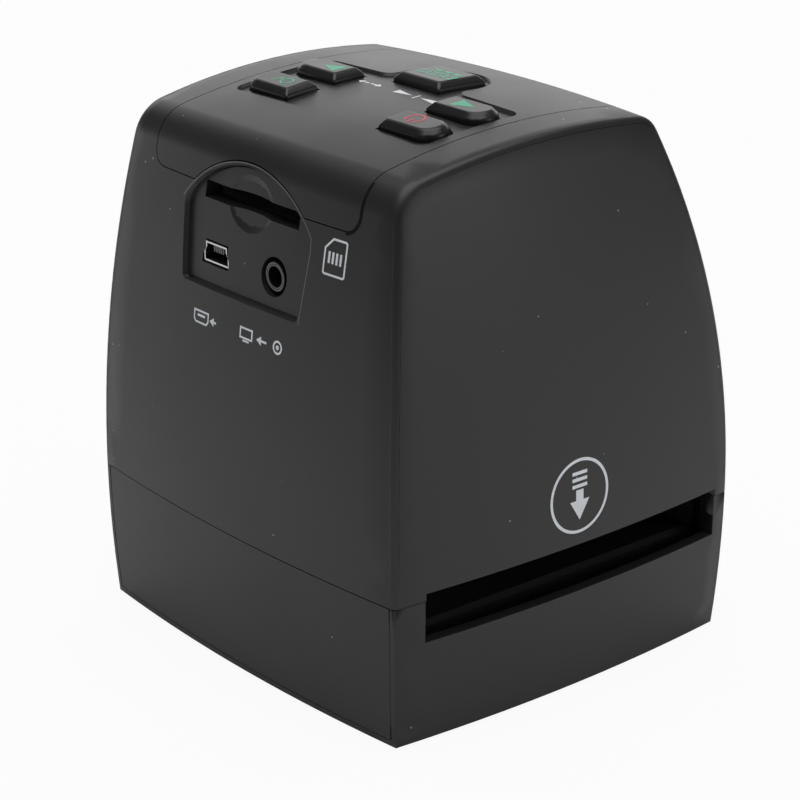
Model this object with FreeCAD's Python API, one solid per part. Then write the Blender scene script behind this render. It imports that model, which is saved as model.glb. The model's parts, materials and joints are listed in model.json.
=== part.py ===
import FreeCAD, Part
import math
import os

# A desktop film negative scanner, in millimetres.
# +Z is up, +Y is the side with the sockets, -Y is the side with the display,
# and the film holder passes through along X.
# The case is drawn with its underside at height zero and lifted by the feet at the end.

V = FreeCAD.Vector
UP = V(0, 0, 1)

# Case: overall form
case_width = 86.65
case_depth = 81.6
case_height = 97.9
widest_height = 25.3
deepest_height = 27.1
side_lean = 7.91
back_lean = 7.83
front_lean = 17.97
front_foot_tuck = 1.27
side_plan_rise = 2.12
side_plan_span = 38.3
end_plan_rise = 2.21
end_plan_span = 40.9
side_section_shares = (0, 0.25, 0.5, 0.75)
side_face_share = 0.8
top_arch_radius = 145.0
top_arch_apex_y = -2.9
top_cross_radius = 657.0
back_corner_radius = 7.0
front_corner_radius = 5.0
edge_round = 1.1
wall = 2.4
overrun = 20.0

# Case: seams
seam_height = 25.7
base_setback = 0.2
seam_gap = 0.3
seam_groove_height = 0.22
seam_groove_depth = 0.8
panel_gap = 0.25
cover_gap = 0.2
fine_gap = 0.12
floor_thickness = 2.2
lower_panel_side = 1.2
lower_panel_reach = 5.0
lower_panel_bottom = 1.0
lower_panel_thickness = 1.9
lower_panel_seat = 1.2

# Film slot and its channel
slot_front_setback = 5.6
slot_back_setback = 8.5
slot_bottom = 18.15
slot_top = 27.0
slot_lead_in = 0.8

# Button cover on the top, and display bezel on the front
cover_half_width = 27.73
cover_back_drop = 13.5
cover_corner_radius = 3.0
cover_front_setback = 19.1
cover_thickness = 2.2
bezel_bottom = 31.0
keypad_dip = 0.6
keypad_dip_half_width = 25.2
keypad_dip_front_y = -2.1
keypad_dip_back_y = 19.6
keypad_lobe_radius = 8.9
keypad_dip_corner = 2.0
keypad_neck_radius = 2.4
keypad_neck_reach = 0.1

# Socket recess in the back
recess_bottom_drop = 30.45
recess_foot_half_width = 15.8
recess_half_width = 17.2
recess_shoulder_drop = 16.7
recess_shoulder_radius = 3.5
recess_top_drop = 8.35
recess_depth = 1.1
recess_ledge = 0.35
recess_corner_radius = 0.9
recess_rim = 0.6
port_plate_thickness = 1.4
port_plate_gap = 0.2
port_plate_lip = 1.4

# Sockets
card_slot_width = 25.6
card_slot_drop = 16.05
card_slot_height = 2.9
finger_dip_half_width = 6.1
finger_dip_half_height = 4.9
finger_dip_depth = 1.0
usb_x = 8.05
usb_opening_gap = 0.3
usb_shell_width = 6.9
usb_shell_top_width = 5.9
usb_shell_height = 3.5
usb_setback = 0.1
usb_shell_wall = 0.3
usb_bend_share = 0.45
usb_neck_share = 0.65
usb_length = 9.0
usb_tongue_width = 3.9
usb_tongue_height = 0.9
socket_drop = 24.85
socket_board_rise = 2.25
jack_x = -7.95
jack_recess_radius = 3.3
jack_ring_radius = 2.5
jack_bore_radius = 1.8
jack_bore_length = 11.0
jack_ring_setback = 0.25
jack_body_width = 6.6
jack_body_length = 12.0

# Buttons on the top: place of the middle, and outline
side_button_inner_x = 12.15
side_button_outer_x = 24.7
side_button_depth = 6.95
back_row_y = 14.35
front_row_y = 4.0
scan_button_y = -6.05
scan_button_width = 12.0
scan_button_depth = 10.9
button_proud = 1.75
button_bevel = 1.05
button_gap = 0.3
button_flange = 0.8
button_flange_drop = 0.25
button_flange_thickness = 1.0
button_stem_radius = 2.0

# Key switches
switch_size = 6.0
switch_body_height = 3.5
switch_height = 5.0
switch_plunger_radius = 1.7
switch_plunger_foot = 1.4
running_gap = 0.06

# Boards
board_thickness = 1.6
main_board_side_setback = 10.3
main_board_front_setback = 18.8
main_board_back_setback = 9.6
keypad_board_drop = 13.0
keypad_board_inset = 0.75
keypad_board_front_setback = 24.8
link_width = 20.0
link_depth = 2.5
link_setback = 4.0
chip_size = 14.0
chip_height = 1.2
chip_x = 21.0
chip_y = 6.0
memory_width_share = 0.6
memory_place_share = 0.7
cover_boss_radius = 2.4
cover_boss_inset = 3.0
board_screw_radius = 1.0
board_screw_head_radius = 1.9
board_screw_head_height = 1.1
board_screw_bite = 5.0
post_radius = 2.6
post_side_inset = 3.0
post_end_inset = 4.75

# Card socket
card_socket_width = 28.0
card_socket_length = 26.0
card_socket_wall = 0.5
card_width = 24.0
card_clearance = 0.4

# Camera above the film
optic_y = -1.65
gate_width = 38.0
gate_depth = 26.0
guide_side_setback = 7.65
guide_thickness = 1.8
guide_rail = 0.9
guide_rail_split = 22.5
guide_apron_thickness = 1.2
guide_apron_drop = 4.5
hood_wall = 1.6
hood_margin = 1.8
hood_top_size = 24.0
hood_lens_room = 8.0
lens_radius = 6.0
lens_wall = 1.2
lens_length = 16.0
lens_glass_thickness = 2.2
lens_flat_share = 0.55
sensor_board_room = 7.3
sensor_board_size = 30.0
sensor_board_thickness = 1.2
sensor_size = 9.0
sensor_thickness = 1.4
lens_foot_size = 15.0
lens_foot_height = 2.0

# Backlight under the film
light_window_width = 42.0
light_window_depth = 30.0
diffuser_thickness = 1.6
diffuser_ledge = 1.2
light_board_underside = 4.2
light_box_wall = 1.4
light_board_margin = 3.0
led_size = 3.5
led_height = 0.9
led_columns = 4
led_rows = 3
guide_leg_radius = 2.4
guide_leg_side_inset = 6.7
guide_leg_end_inset = 7.8

# Click stop for the film holder
detent_x = 26.0
detent_setback = 2.75
detent_pin_radius = 1.2
detent_body_radius = 1.75
detent_proud = 0.8
detent_shoulder_drop = 0.8
detent_body_length = 3.2
detent_cup_wall = 1.0
detent_spring_height = 4.0
detent_leaf = 0.3
detent_folds = 4

# Display
window_width = 50.0
window_top_drop = 16.9
window_bottom_rise = 12.0
window_corner = 2.0
window_setback = 0.25
window_thickness = 1.3
window_ledge = 1.6
module_width = 58.0
module_margin = 3.0
module_thickness = 3.0
module_setback = 5.8
module_frame_width = 3.5

# Ribbons
ribbon_thickness = 0.3
display_ribbon_width = 20.0
display_ribbon_start_share = 0.25
sensor_ribbon_width = 9.0
light_ribbon_width = 8.0
ribbon_bend = 0.9
light_ribbon_bend = 1.2
light_ribbon_rise = 4.0

# Screws and feet
base_screw_x = 15.0
base_screw_setback = 5.3
base_screw_radius = 1.25
base_screw_head_radius = 2.0
base_screw_head_height = 1.5
base_screw_seat = 13.0
base_screw_length = 20.0
base_screw_room = 0.2
base_boss_radius = 2.2
base_boss_wall = 0.9
base_boss_web = 1.2
screw_end_gap = 1.0
hook_x = 9.0
hook_width = 9.0
hook_thickness = 0.8
hook_drop = 4.0
foot_radius = 4.5
foot_proud = 0.5
foot_inset = 1.0
foot_side_setback = 12.3
foot_end_setback = 13.8


def arc_radius(half_span, rise):
    """The radius of an arc that rises by a length over half its span, or leans in by it over its height."""
    return 0.5 * (half_span ** 2 / rise + rise)


# Values that follow from the ones above
half_width = 0.5 * case_width
half_depth = 0.5 * case_depth
side_arch_radius = arc_radius(case_height - widest_height, side_lean)
back_arch_radius = arc_radius(case_height - deepest_height, back_lean)
front_arch_radius = arc_radius(case_height - deepest_height, front_lean)
front_foot_radius = arc_radius(deepest_height, front_foot_tuck)
slot_front_y = slot_front_setback - half_depth
slot_back_y = half_depth - slot_back_setback
slot_middle_y = 0.5 * (slot_front_y + slot_back_y)
cover_back_bottom = case_height - cover_back_drop
cover_front_y = cover_front_setback - half_depth
recess_bottom = case_height - recess_bottom_drop
recess_shoulder_height = case_height - recess_shoulder_drop
recess_top = case_height - recess_top_drop
card_slot_bottom = case_height - card_slot_drop
socket_height = case_height - socket_drop
main_board_underside = socket_height + socket_board_rise
main_board_half_width = half_width - main_board_side_setback
main_board_front_y = main_board_front_setback - half_depth
main_board_back_y = half_depth - main_board_back_setback
post_x = main_board_half_width - post_side_inset
post_front_y = main_board_front_y + post_end_inset
post_back_y = main_board_back_y - post_end_inset
keypad_board_underside = case_height - keypad_board_drop
keypad_board_half_width = cover_half_width - keypad_board_inset
keypad_board_front_y = keypad_board_front_setback - half_depth
cover_boss_x = keypad_board_half_width - cover_boss_inset
cover_boss_front_y = keypad_board_front_y + cover_boss_inset
cover_boss_back_y = back_row_y + 0.5 * side_button_depth + button_flange + panel_gap + cover_boss_radius
keypad_board_back_y = cover_boss_back_y + cover_boss_inset
link_y = keypad_board_front_y + link_setback
sensor_board_underside = main_board_underside - sensor_board_room
lens_top = sensor_board_underside - lens_foot_height
lens_bottom = lens_top - lens_length
hood_top = lens_top - hood_lens_room
guide_half_width = half_width - guide_side_setback
guide_leg_x = guide_half_width - guide_leg_side_inset
guide_leg_y = 0.5 * (slot_back_y - slot_front_y) - guide_leg_end_inset
detent_y = slot_back_y - detent_setback
window_bottom = bezel_bottom + window_bottom_rise
window_top = case_height - window_top_drop
window_height = window_top - window_bottom
display_height = 0.5 * (window_bottom + window_top)
module_length = window_height + 2 * module_margin
base_screw_y = half_depth - base_screw_setback
foot_x = half_width - foot_side_setback
foot_y = half_depth - foot_end_setback
keypad_board_top = keypad_board_underside + board_thickness
switch_top = keypad_board_top + switch_height
guide_floor_underside = slot_bottom - guide_thickness
light_board_top = light_board_underside + board_thickness


def box(low, high):
    """A block between two opposite corners."""
    return Part.makeBox(high.x - low.x, high.y - low.y, high.z - low.z, low)


def centred_box(width, depth, bottom, top, x=0, y=0):
    """A block of a width along X and a depth along Y about a place."""
    return box(V(x - 0.5 * width, y - 0.5 * depth, bottom), V(x + 0.5 * width, y + 0.5 * depth, top))


def rod(radius, bottom, top, x=0, y=0):
    """An upright cylinder between two heights."""
    return Part.makeCylinder(radius, top - bottom, V(x, y, bottom), UP)


def joined(shapes):
    """Several touching solids made one."""
    first = shapes[0]
    if len(shapes) == 1:
        return first
    return first.fuse(shapes[1:]).removeSplitter()


def group(shapes):
    """Several separate solids kept as one piece group."""
    return Part.makeCompound(shapes)


def half_width_at(z):
    """Half the width of the case at the middle of a side: an upright arch."""
    rise = z - widest_height
    return half_width - (side_arch_radius - math.sqrt(side_arch_radius ** 2 - rise ** 2))


def plan_rise_at(x):
    """How far the back and front faces have drawn in at a distance from the middle."""
    return end_plan_rise * (x / end_plan_span) ** 2


def crown_drop_at(x):
    """How far the top has dropped at a distance from the middle."""
    return top_cross_radius - math.sqrt(top_cross_radius ** 2 - x ** 2)


def back_y_at(x, z, inset=0):
    """The back face at a place across and up the case."""
    rise = z - deepest_height
    radius = back_arch_radius
    return half_depth - plan_rise_at(x) - radius + math.sqrt((radius - inset) ** 2 - rise ** 2)


def front_y_at(x, z, inset=0):
    """The front face at a place across and up the case."""
    rise = z - deepest_height
    radius = front_arch_radius
    return -(half_depth - plan_rise_at(x) - radius + math.sqrt((radius - inset) ** 2 - rise ** 2))


def top_z_at(x, y, inset=0):
    """The top face at a place on the case."""
    radius = top_arch_radius - inset
    reach = y - top_arch_apex_y
    return case_height - crown_drop_at(x) - top_arch_radius + math.sqrt(radius ** 2 - reach ** 2)


def blend_centre(centre_a, radius_a, centre_b, radius_b, radius, towards):
    """The centre of a corner arc that touches two larger arcs from inside."""
    reach_a = radius_a - radius
    reach_b = radius_b - radius
    apart = (centre_b - centre_a).Length
    along = (reach_a ** 2 - reach_b ** 2 + apart ** 2) / (2 * apart)
    across = math.sqrt(reach_a ** 2 - along ** 2)
    line = (centre_b - centre_a) * (1 / apart)
    side = V(0, -line.z, line.y)
    choices = [centre_a + line * along + side * across, centre_a + line * along - side * across]
    return min(choices, key=lambda point: (point - towards).Length)


def arc_about(centre, start, end):
    """The shorter arc from start to end about a centre."""
    radius = (start - centre).Length
    middle = ((start - centre) + (end - centre)).normalize() * radius
    return Part.Arc(start, centre + middle, end).toShape()


def case_profile(x, inset):
    """The outline of the case in a plane across X, seen from the side.

    Arches for the back, top and front, joined by smaller corner arcs.
    An inset draws every arch in by that much.
    """
    draw_in = plan_rise_at(x)
    drop = crown_drop_at(x)
    bottom = -overrun
    back_radius = back_arch_radius - inset
    front_radius = front_arch_radius - inset
    foot_radius_in = front_foot_radius - inset
    top_radius = top_arch_radius - inset
    back_centre = V(x, half_depth - draw_in - back_arch_radius, deepest_height)
    front_centre = V(x, front_arch_radius - half_depth + draw_in, deepest_height)
    foot_centre = V(x, front_foot_radius - half_depth + draw_in, deepest_height)
    top_centre = V(x, top_arch_apex_y, case_height - drop - top_arch_radius)
    back_corner = V(x, half_depth, case_height)
    front_corner = V(x, -half_depth, case_height)
    back_blend = back_corner_radius - inset
    front_blend = front_corner_radius - inset
    back_middle = blend_centre(top_centre, top_radius, back_centre, back_radius, back_blend, back_corner)
    front_middle = blend_centre(top_centre, top_radius, front_centre, front_radius, front_blend,
                                front_corner)
    back_top = top_centre + (back_middle - top_centre).normalize() * top_radius
    back_end = back_centre + (back_middle - back_centre).normalize() * back_radius
    front_top = top_centre + (front_middle - top_centre).normalize() * top_radius
    front_end = front_centre + (front_middle - front_centre).normalize() * front_radius
    front_deep = V(x, inset - half_depth + draw_in, deepest_height)
    sweep_back = math.sqrt(back_radius ** 2 - (bottom - deepest_height) ** 2)
    back_foot = V(x, back_centre.y + sweep_back, bottom)
    sweep_front = math.sqrt(foot_radius_in ** 2 - (bottom - deepest_height) ** 2)
    front_foot = V(x, foot_centre.y - sweep_front, bottom)
    return Part.Wire([
        Part.makeLine(front_foot, back_foot),
        arc_about(back_centre, back_foot, back_end),
        arc_about(back_middle, back_end, back_top),
        arc_about(top_centre, back_top, front_top),
        arc_about(front_middle, front_top, front_end),
        arc_about(front_centre, front_end, front_deep),
        arc_about(foot_centre, front_deep, front_foot),
    ])


def side_walls(inset):
    """A solid whose two sides are the bulged sides of the case."""
    reach = half_depth + overrun
    draw_in = side_plan_rise * (reach / side_plan_span) ** 2
    heights = [-2 * overrun] + [share * case_height for share in side_section_shares]
    heights.append(case_height + overrun)
    sections = []
    for z in heights:
        bulge = half_width_at(z) - inset
        edge = bulge - draw_in
        near = [V(edge, -reach, z), V(bulge, 0, z), V(edge, reach, z)]
        far = [V(-edge, reach, z), V(-bulge, 0, z), V(-edge, -reach, z)]
        sections.append(Part.Wire([
            Part.Arc(near[0], near[1], near[2]).toShape(),
            Part.makeLine(near[2], far[0]),
            Part.Arc(far[0], far[1], far[2]).toShape(),
            Part.makeLine(far[2], near[0]),
        ]))
    return Part.makeLoft(sections, True, False)


def sharp_case(inset):
    """The whole case as one solid drawn in by an inset, with sharp side edges."""
    reach = half_width + wall
    stations = [-reach, -0.5 * reach, 0, 0.5 * reach, reach]
    bar = Part.makeLoft([case_profile(x, inset) for x in stations], True, False)
    return bar.common(side_walls(inset)).Solids[0]


def rounded_case():
    """The outside of the case, its side faces rimmed by one small round edge."""
    solid = sharp_case(0)
    rims = []
    for face in solid.Faces:
        bounds = face.BoundBox
        centre = face.CenterOfMass
        if abs(centre.x) > side_face_share * half_width and bounds.ZLength > 0.5 * case_height:
            rims += [edge for edge in face.OuterWire.Edges if edge.CenterOfMass.z > -0.5 * overrun]
    return solid.makeFillet(edge_round, rims).Solids[0]


def slab(bottom, top):
    """Everything between two heights."""
    reach = half_width + overrun
    return box(V(-reach, -reach, bottom), V(reach, reach, top))


def rounded_outline(half, low, high, radius, y):
    """An upright rectangle with round corners, in a plane across Y."""
    turn = radius * (1 - math.sqrt(0.5))
    points = [
        (V(-half + radius, y, low), V(half - radius, y, low)),
        (V(half, y, low + radius), V(half, y, high - radius)),
        (V(half - radius, y, high), V(-half + radius, y, high)),
        (V(-half, y, high - radius), V(-half, y, low + radius)),
    ]
    bends = [V(half - turn, y, low + turn), V(half - turn, y, high - turn),
             V(-half + turn, y, high - turn), V(-half + turn, y, low + turn)]
    edges = []
    for index, (start, end) in enumerate(points):
        following = points[(index + 1) % len(points)][0]
        edges.append(Part.makeLine(start, end))
        edges.append(Part.Arc(end, bends[index], following).toShape())
    return Part.Wire(edges)


def prism_along_y(wire, length):
    """A flat outline in a plane across Y, carried along Y."""
    return Part.Face(wire).extrude(V(0, length, 0))


def recess_outline(margin, y):
    """The outline of the socket recess: slanted sides under a flat arch."""
    low = recess_bottom - margin
    foot = recess_foot_half_width + margin
    wide = recess_half_width + margin
    shoulder = recess_shoulder_height
    crest = recess_top + margin
    radius = recess_corner_radius + margin
    lean = math.atan((wide - foot) / (shoulder - low))
    rise_x = radius * math.sin(lean)
    rise_z = radius * math.cos(lean)
    turn = radius * (1 - math.sqrt(0.5))
    low_right = V(foot - radius, y, low)
    low_left = V(-foot + radius, y, low)
    side_right = V(foot + rise_x, y, low + rise_z)
    side_left = V(-foot - rise_x, y, low + rise_z)
    top_right = V(wide, y, shoulder)
    top_left = V(-wide, y, shoulder)
    return Part.Wire([
        Part.makeLine(low_left, low_right),
        Part.Arc(low_right, V(foot - turn, y, low + turn), side_right).toShape(),
        Part.makeLine(side_right, top_right),
        Part.Arc(top_right, V(0, y, crest), top_left).toShape(),
        Part.makeLine(top_left, side_left),
        Part.Arc(side_left, V(-foot + turn, y, low + turn), low_left).toShape(),
    ])


def recess_prism(margin):
    """The socket recess carried right through the back wall, its shoulders rounded."""
    prism = prism_along_y(recess_outline(margin, 0.5 * half_depth), half_depth)
    shoulders = [edge for edge in prism.Edges
                 if edge.BoundBox.YLength > 0.5 * half_depth
                 and abs(edge.CenterOfMass.z - recess_shoulder_height) < fine_gap]
    return prism.makeFillet(recess_shoulder_radius + margin, shoulders)


def cover_prism(margin):
    """The outline of the button cover, round at its lower back corners, carried along Y."""
    half = cover_half_width + margin
    low = cover_back_bottom - margin
    wire = rounded_outline(half, low, case_height + overrun, cover_corner_radius + margin,
                           cover_front_y - margin)
    return prism_along_y(wire, case_depth)


def bezel_prism(margin):
    """The outline of the display bezel, carried along Y."""
    half = cover_half_width + margin
    wire = rounded_outline(half, bezel_bottom - margin, case_height + overrun,
                           cover_corner_radius + margin, -case_depth)
    return prism_along_y(wire, case_depth + cover_front_y + margin)


def film_passage():
    """The way that the film holder takes through the case."""
    reach = half_width + overrun
    return box(V(-reach, slot_front_y, slot_bottom), V(reach, slot_back_y, slot_top))


def base_boss_places():
    """Where the two long screws rise beside the film channel."""
    return [(-base_screw_x, base_screw_y), (base_screw_x, base_screw_y)]


def make_upper_housing(outer, inner):
    """The upper casing: walls, film slot notches, socket recess and screw bosses."""
    reach = case_height + overrun
    shell = outer.cut(inner).common(slab(seam_height, reach))
    shell = shell.cut(cover_prism(0).cut(recess_prism(recess_rim)))
    shell = shell.cut(bezel_prism(0))
    shell = shell.cut(film_passage())
    shell = shell.cut([recess_prism(0).cut(sharp_case(recess_depth)), recess_prism(-recess_ledge)])
    bosses = []
    for x, y in base_boss_places():
        top = seam_height + base_screw_length
        boss = rod(base_boss_radius, seam_height, top, x, y)
        web = box(V(x - 0.5 * base_boss_web, y, seam_height), V(x + 0.5 * base_boss_web, half_depth, top))
        boss = joined([boss, web]).common(outer)
        bosses.append(boss.cut(rod(base_screw_radius, seam_height - wall, top - wall, x, y)))
    hooks = []
    for x in (-hook_x, hook_x):
        back = front_y_at(x, seam_height, wall)
        tab = centred_box(hook_width, hook_thickness, seam_height - hook_drop, seam_height + hook_drop,
                          x, back + 0.5 * hook_thickness + panel_gap)
        root_low = V(x - 0.5 * hook_width, back - panel_gap, seam_height + panel_gap)
        root_high = V(x + 0.5 * hook_width, back + hook_thickness, seam_height + hook_drop)
        hooks.append(joined([tab, box(root_low, root_high).common(outer)]))
    return joined([shell] + bosses + hooks)


def button_outline(name, grow, z):
    """The outline of a button at a height: square for the middle one, round at the outer end for the others."""
    if name == "scan":
        half_x = 0.5 * scan_button_width + grow
        half_y = 0.5 * scan_button_depth + grow
        corners = [V(sx * half_x, scan_button_y + sy * half_y, z)
                   for sx, sy in ((-1, -1), (1, -1), (1, 1), (-1, 1), (-1, -1))]
        return Part.makePolygon(corners)
    side, y = button_places[name]
    half = 0.5 * side_button_depth + grow
    inner = side * (side_button_inner_x - grow)
    outer = side * (side_button_outer_x + grow)
    shoulder = outer - side * half
    return Part.Wire([
        Part.makeLine(V(inner, y - half, z), V(shoulder, y - half, z)),
        Part.Arc(V(shoulder, y - half, z), V(outer, y, z), V(shoulder, y + half, z)).toShape(),
        Part.makeLine(V(shoulder, y + half, z), V(inner, y + half, z)),
        Part.makeLine(V(inner, y + half, z), V(inner, y - half, z)),
    ])


# Which side of the middle each outer button is on, and its row.
button_places = {
    "confirm": (1, back_row_y),
    "flip": (1, front_row_y),
    "mirror": (-1, front_row_y),
    "power": (-1, back_row_y),
}
button_names = ["confirm", "flip", "scan", "mirror", "power"]


def button_middle(name):
    """Where the stem of a button stands."""
    if name == "scan":
        return 0, scan_button_y
    side, y = button_places[name]
    return side * 0.5 * (side_button_inner_x + side_button_outer_x - 0.5 * side_button_depth), y


def button_prism(name, grow, bottom, top):
    """A button's outline carried from one height to another."""
    return Part.Face(button_outline(name, grow, bottom)).extrude(V(0, 0, top - bottom))


def lean_at(y):
    """The slope of the top face along Y, as an angle in degrees about X."""
    reach = y - top_arch_apex_y
    return -math.degrees(math.asin(reach / top_arch_radius))


def keypad_dip_solid():
    """The shallow dip that the buttons stand in: a band across the cover and a lobe about the middle one."""
    low = keypad_dip_front_y
    high = keypad_dip_back_y
    tall = case_height + overrun
    band = centred_box(2 * keypad_dip_half_width, high - low, 0, tall, 0, 0.5 * (low + high))
    corners = [edge for edge in band.Edges if edge.BoundBox.ZLength > case_height]
    band = band.makeFillet(keypad_dip_corner, corners)
    dip = joined([band, rod(keypad_lobe_radius, 0, tall, 0, scan_button_y)])
    necks = [edge for edge in dip.Edges
             if edge.BoundBox.ZLength > case_height and abs(edge.CenterOfMass.x) < keypad_lobe_radius
             and abs(edge.CenterOfMass.y - low) < keypad_neck_reach]
    return dip.makeFillet(keypad_neck_radius, necks)


def make_top_cover(outer, inner_cover, floor_inset):
    """The button cover: a crowned strip with a dip, five button holes and stiffening ribs."""
    strip = outer.cut(inner_cover).common(cover_prism(-cover_gap))
    strip = strip.cut(recess_prism(recess_rim + cover_gap))
    dip = keypad_dip_solid().common(outer).cut(floor_inset)
    strip = strip.cut(dip)
    for name in button_names:
        strip = strip.cut(on_top(button_prism(name, button_gap, -overrun, overrun), name))
    bosses = []
    for x, y in cover_boss_places():
        stand = rod(cover_boss_radius, keypad_board_top, case_height + overrun, x, y)
        stand = stand.cut(rod(board_screw_radius, keypad_board_top - wall,
                              keypad_board_top + board_screw_bite, x, y))
        bosses.append(stand.common(inner_cover))
    return joined([strip.Solids[0]] + bosses)


def make_display_bezel(outer, inner):
    """The strip that frames the display, with a stepped opening for its window."""
    strip = outer.cut(inner).common(bezel_prism(-cover_gap))
    strip = strip.cut(cover_prism(0))
    opening = rounded_outline(0.5 * window_width + fine_gap, display_height - 0.5 * window_height - fine_gap,
                              display_height + 0.5 * window_height + fine_gap, window_corner, -case_depth)
    sight = rounded_outline(0.5 * window_width - window_ledge,
                            display_height - 0.5 * window_height + window_ledge,
                            display_height + 0.5 * window_height - window_ledge, window_corner, -case_depth)
    deep = sharp_case(window_setback + window_thickness)
    strip = strip.cut(prism_along_y(opening, case_depth).cut(deep))
    return strip.cut(prism_along_y(sight, case_depth))


def make_display_window():
    """The clear window, curved like the front that it sits in."""
    outline = rounded_outline(0.5 * window_width, display_height - 0.5 * window_height,
                              display_height + 0.5 * window_height, window_corner, -case_depth)
    skin = sharp_case(window_setback).cut(sharp_case(window_setback + window_thickness))
    return prism_along_y(outline, case_depth).common(skin)


def on_display(shape, setback):
    """Carry a shape drawn flat about the origin to the slanted back of the display window."""
    slant = math.degrees(math.asin((display_height - deepest_height) / front_arch_radius))
    shape.rotate(V(0, 0, 0), V(1, 0, 0), -slant)
    face_y = front_y_at(0, display_height)
    lean = math.radians(slant)
    shape.translate(V(0, face_y + setback * math.cos(lean), display_height - setback * math.sin(lean)))
    return shape


def make_display_module():
    """The display panel in its metal tray."""
    low = V(-0.5 * module_width, 0, -0.5 * module_length)
    high = V(0.5 * module_width, module_thickness, 0.5 * module_length)
    return on_display(box(low, high), module_setback)


def make_display_frame(inner):
    """The frame between the case wall and the display panel, fitted to the curved wall."""
    depth = module_setback
    ring = box(V(-0.5 * module_width, -depth, -0.5 * module_length),
               V(0.5 * module_width, 0, 0.5 * module_length))
    sight = box(V(-0.5 * module_width + module_frame_width, -2 * depth,
                  -0.5 * module_length + module_frame_width),
                V(0.5 * module_width - module_frame_width, depth,
                  0.5 * module_length - module_frame_width))
    ring = on_display(ring.cut(sight), module_setback)
    return ring.common(inner)


def make_port_plate():
    """The recessed plate round the sockets, with its finger dip and openings."""
    face = sharp_case(recess_depth)
    back = sharp_case(wall)
    lip_back = sharp_case(wall + port_plate_thickness)
    plate = recess_prism(-recess_ledge - port_plate_gap).common(face.cut(lip_back))
    lip = recess_prism(port_plate_lip).common(back.cut(lip_back))
    plate = joined([plate, lip])
    middle = card_slot_bottom + 0.5 * card_slot_height
    reach = case_depth
    card_slot = centred_box(card_slot_width, reach, card_slot_bottom, card_slot_bottom + card_slot_height,
                            0, half_depth)
    dip = finger_dip_solid(middle)
    usb_hole = prism_along_y(usb_section(usb_opening_gap, 0), case_depth)
    usb_hole.translate(V(usb_x, 0, 0))
    jack_hole = Part.makeCylinder(jack_recess_radius, reach, V(jack_x, 0, socket_height), V(0, 1, 0))
    return plate.cut([card_slot, dip, usb_hole, jack_hole])


def finger_dip_solid(middle):
    """The oval dip about the card slot: a flat arc turned about a line that runs along the leaning plate."""
    turn_radius = arc_radius(finger_dip_half_height, finger_dip_depth)
    lean = math.asin((middle - deepest_height) / back_arch_radius)
    out = V(0, math.cos(lean), math.sin(lean))
    across = V(finger_dip_half_width, 0, 0)
    face = V(0, back_y_at(0, middle, recess_depth), middle)
    deepest = face - out * finger_dip_depth
    axis = deepest + out * turn_radius
    outline = Part.Wire([
        Part.Arc(face - across, deepest, face + across).toShape(),
        Part.makeLine(face + across, axis + across),
        Part.makeLine(axis + across, axis - across),
        Part.makeLine(axis - across, face - across),
    ])
    return Part.Face(outline).revolve(axis, across, 360)


def make_card_socket():
    """The memory card socket: an open-mouthed metal tray under the button board."""
    top = keypad_board_underside
    bottom = card_slot_bottom - card_socket_wall
    mouth_y = back_y_at(0.5 * card_slot_width, top, wall + port_plate_thickness) - panel_gap
    body = centred_box(card_socket_width, card_socket_length, bottom, top, 0,
                       mouth_y - 0.5 * card_socket_length)
    pocket_height = card_slot_height - card_clearance
    pocket = centred_box(card_width + 2 * card_clearance, card_socket_length,
                         bottom + card_socket_wall, bottom + card_socket_wall + pocket_height,
                         0, mouth_y - 0.5 * card_socket_length + 2 * card_socket_wall)
    return body.cut(pocket)


def usb_section(grow, y):
    """The outline of the small socket: narrow at the top, with slanted shoulders."""
    low = socket_height - 0.5 * usb_shell_height - grow
    high = socket_height + 0.5 * usb_shell_height + grow
    wide = 0.5 * usb_shell_width + grow
    narrow = 0.5 * usb_shell_top_width + grow
    bend = low + usb_bend_share * usb_shell_height
    neck = low + usb_neck_share * usb_shell_height
    points = [V(-wide, y, low), V(wide, y, low), V(wide, y, bend), V(narrow, y, neck),
              V(narrow, y, high), V(-narrow, y, high), V(-narrow, y, neck), V(-wide, y, bend)]
    points.append(points[0])
    return Part.makePolygon(points)


def make_usb_socket():
    """The small data socket: a folded metal shell round a contact tongue."""
    mouth = back_y_at(usb_x, socket_height, recess_depth) - usb_setback
    back = mouth - usb_length
    shell = prism_along_y(usb_section(0, back), usb_length)
    hollow = prism_along_y(usb_section(-usb_shell_wall, back + 2 * usb_shell_wall), usb_length)
    tongue_top = socket_height + 0.5 * usb_shell_height - 2 * usb_shell_wall
    tongue = box(V(-0.5 * usb_tongue_width, back, tongue_top - usb_tongue_height),
                 V(0.5 * usb_tongue_width, mouth - 3 * usb_shell_wall, tongue_top))
    foot = box(V(-0.5 * usb_shell_top_width, back, socket_height + 0.5 * usb_shell_height - usb_shell_wall),
               V(0.5 * usb_shell_top_width, mouth - wall - port_plate_thickness, main_board_underside))
    socket = joined([shell.cut(hollow), tongue, foot])
    socket.translate(V(usb_x, 0, 0))
    return socket


def jack_mouth_y():
    """Where the round socket's ring ends, just inside the face of the recess."""
    return back_y_at(jack_x, socket_height, recess_depth) - jack_ring_setback


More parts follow.
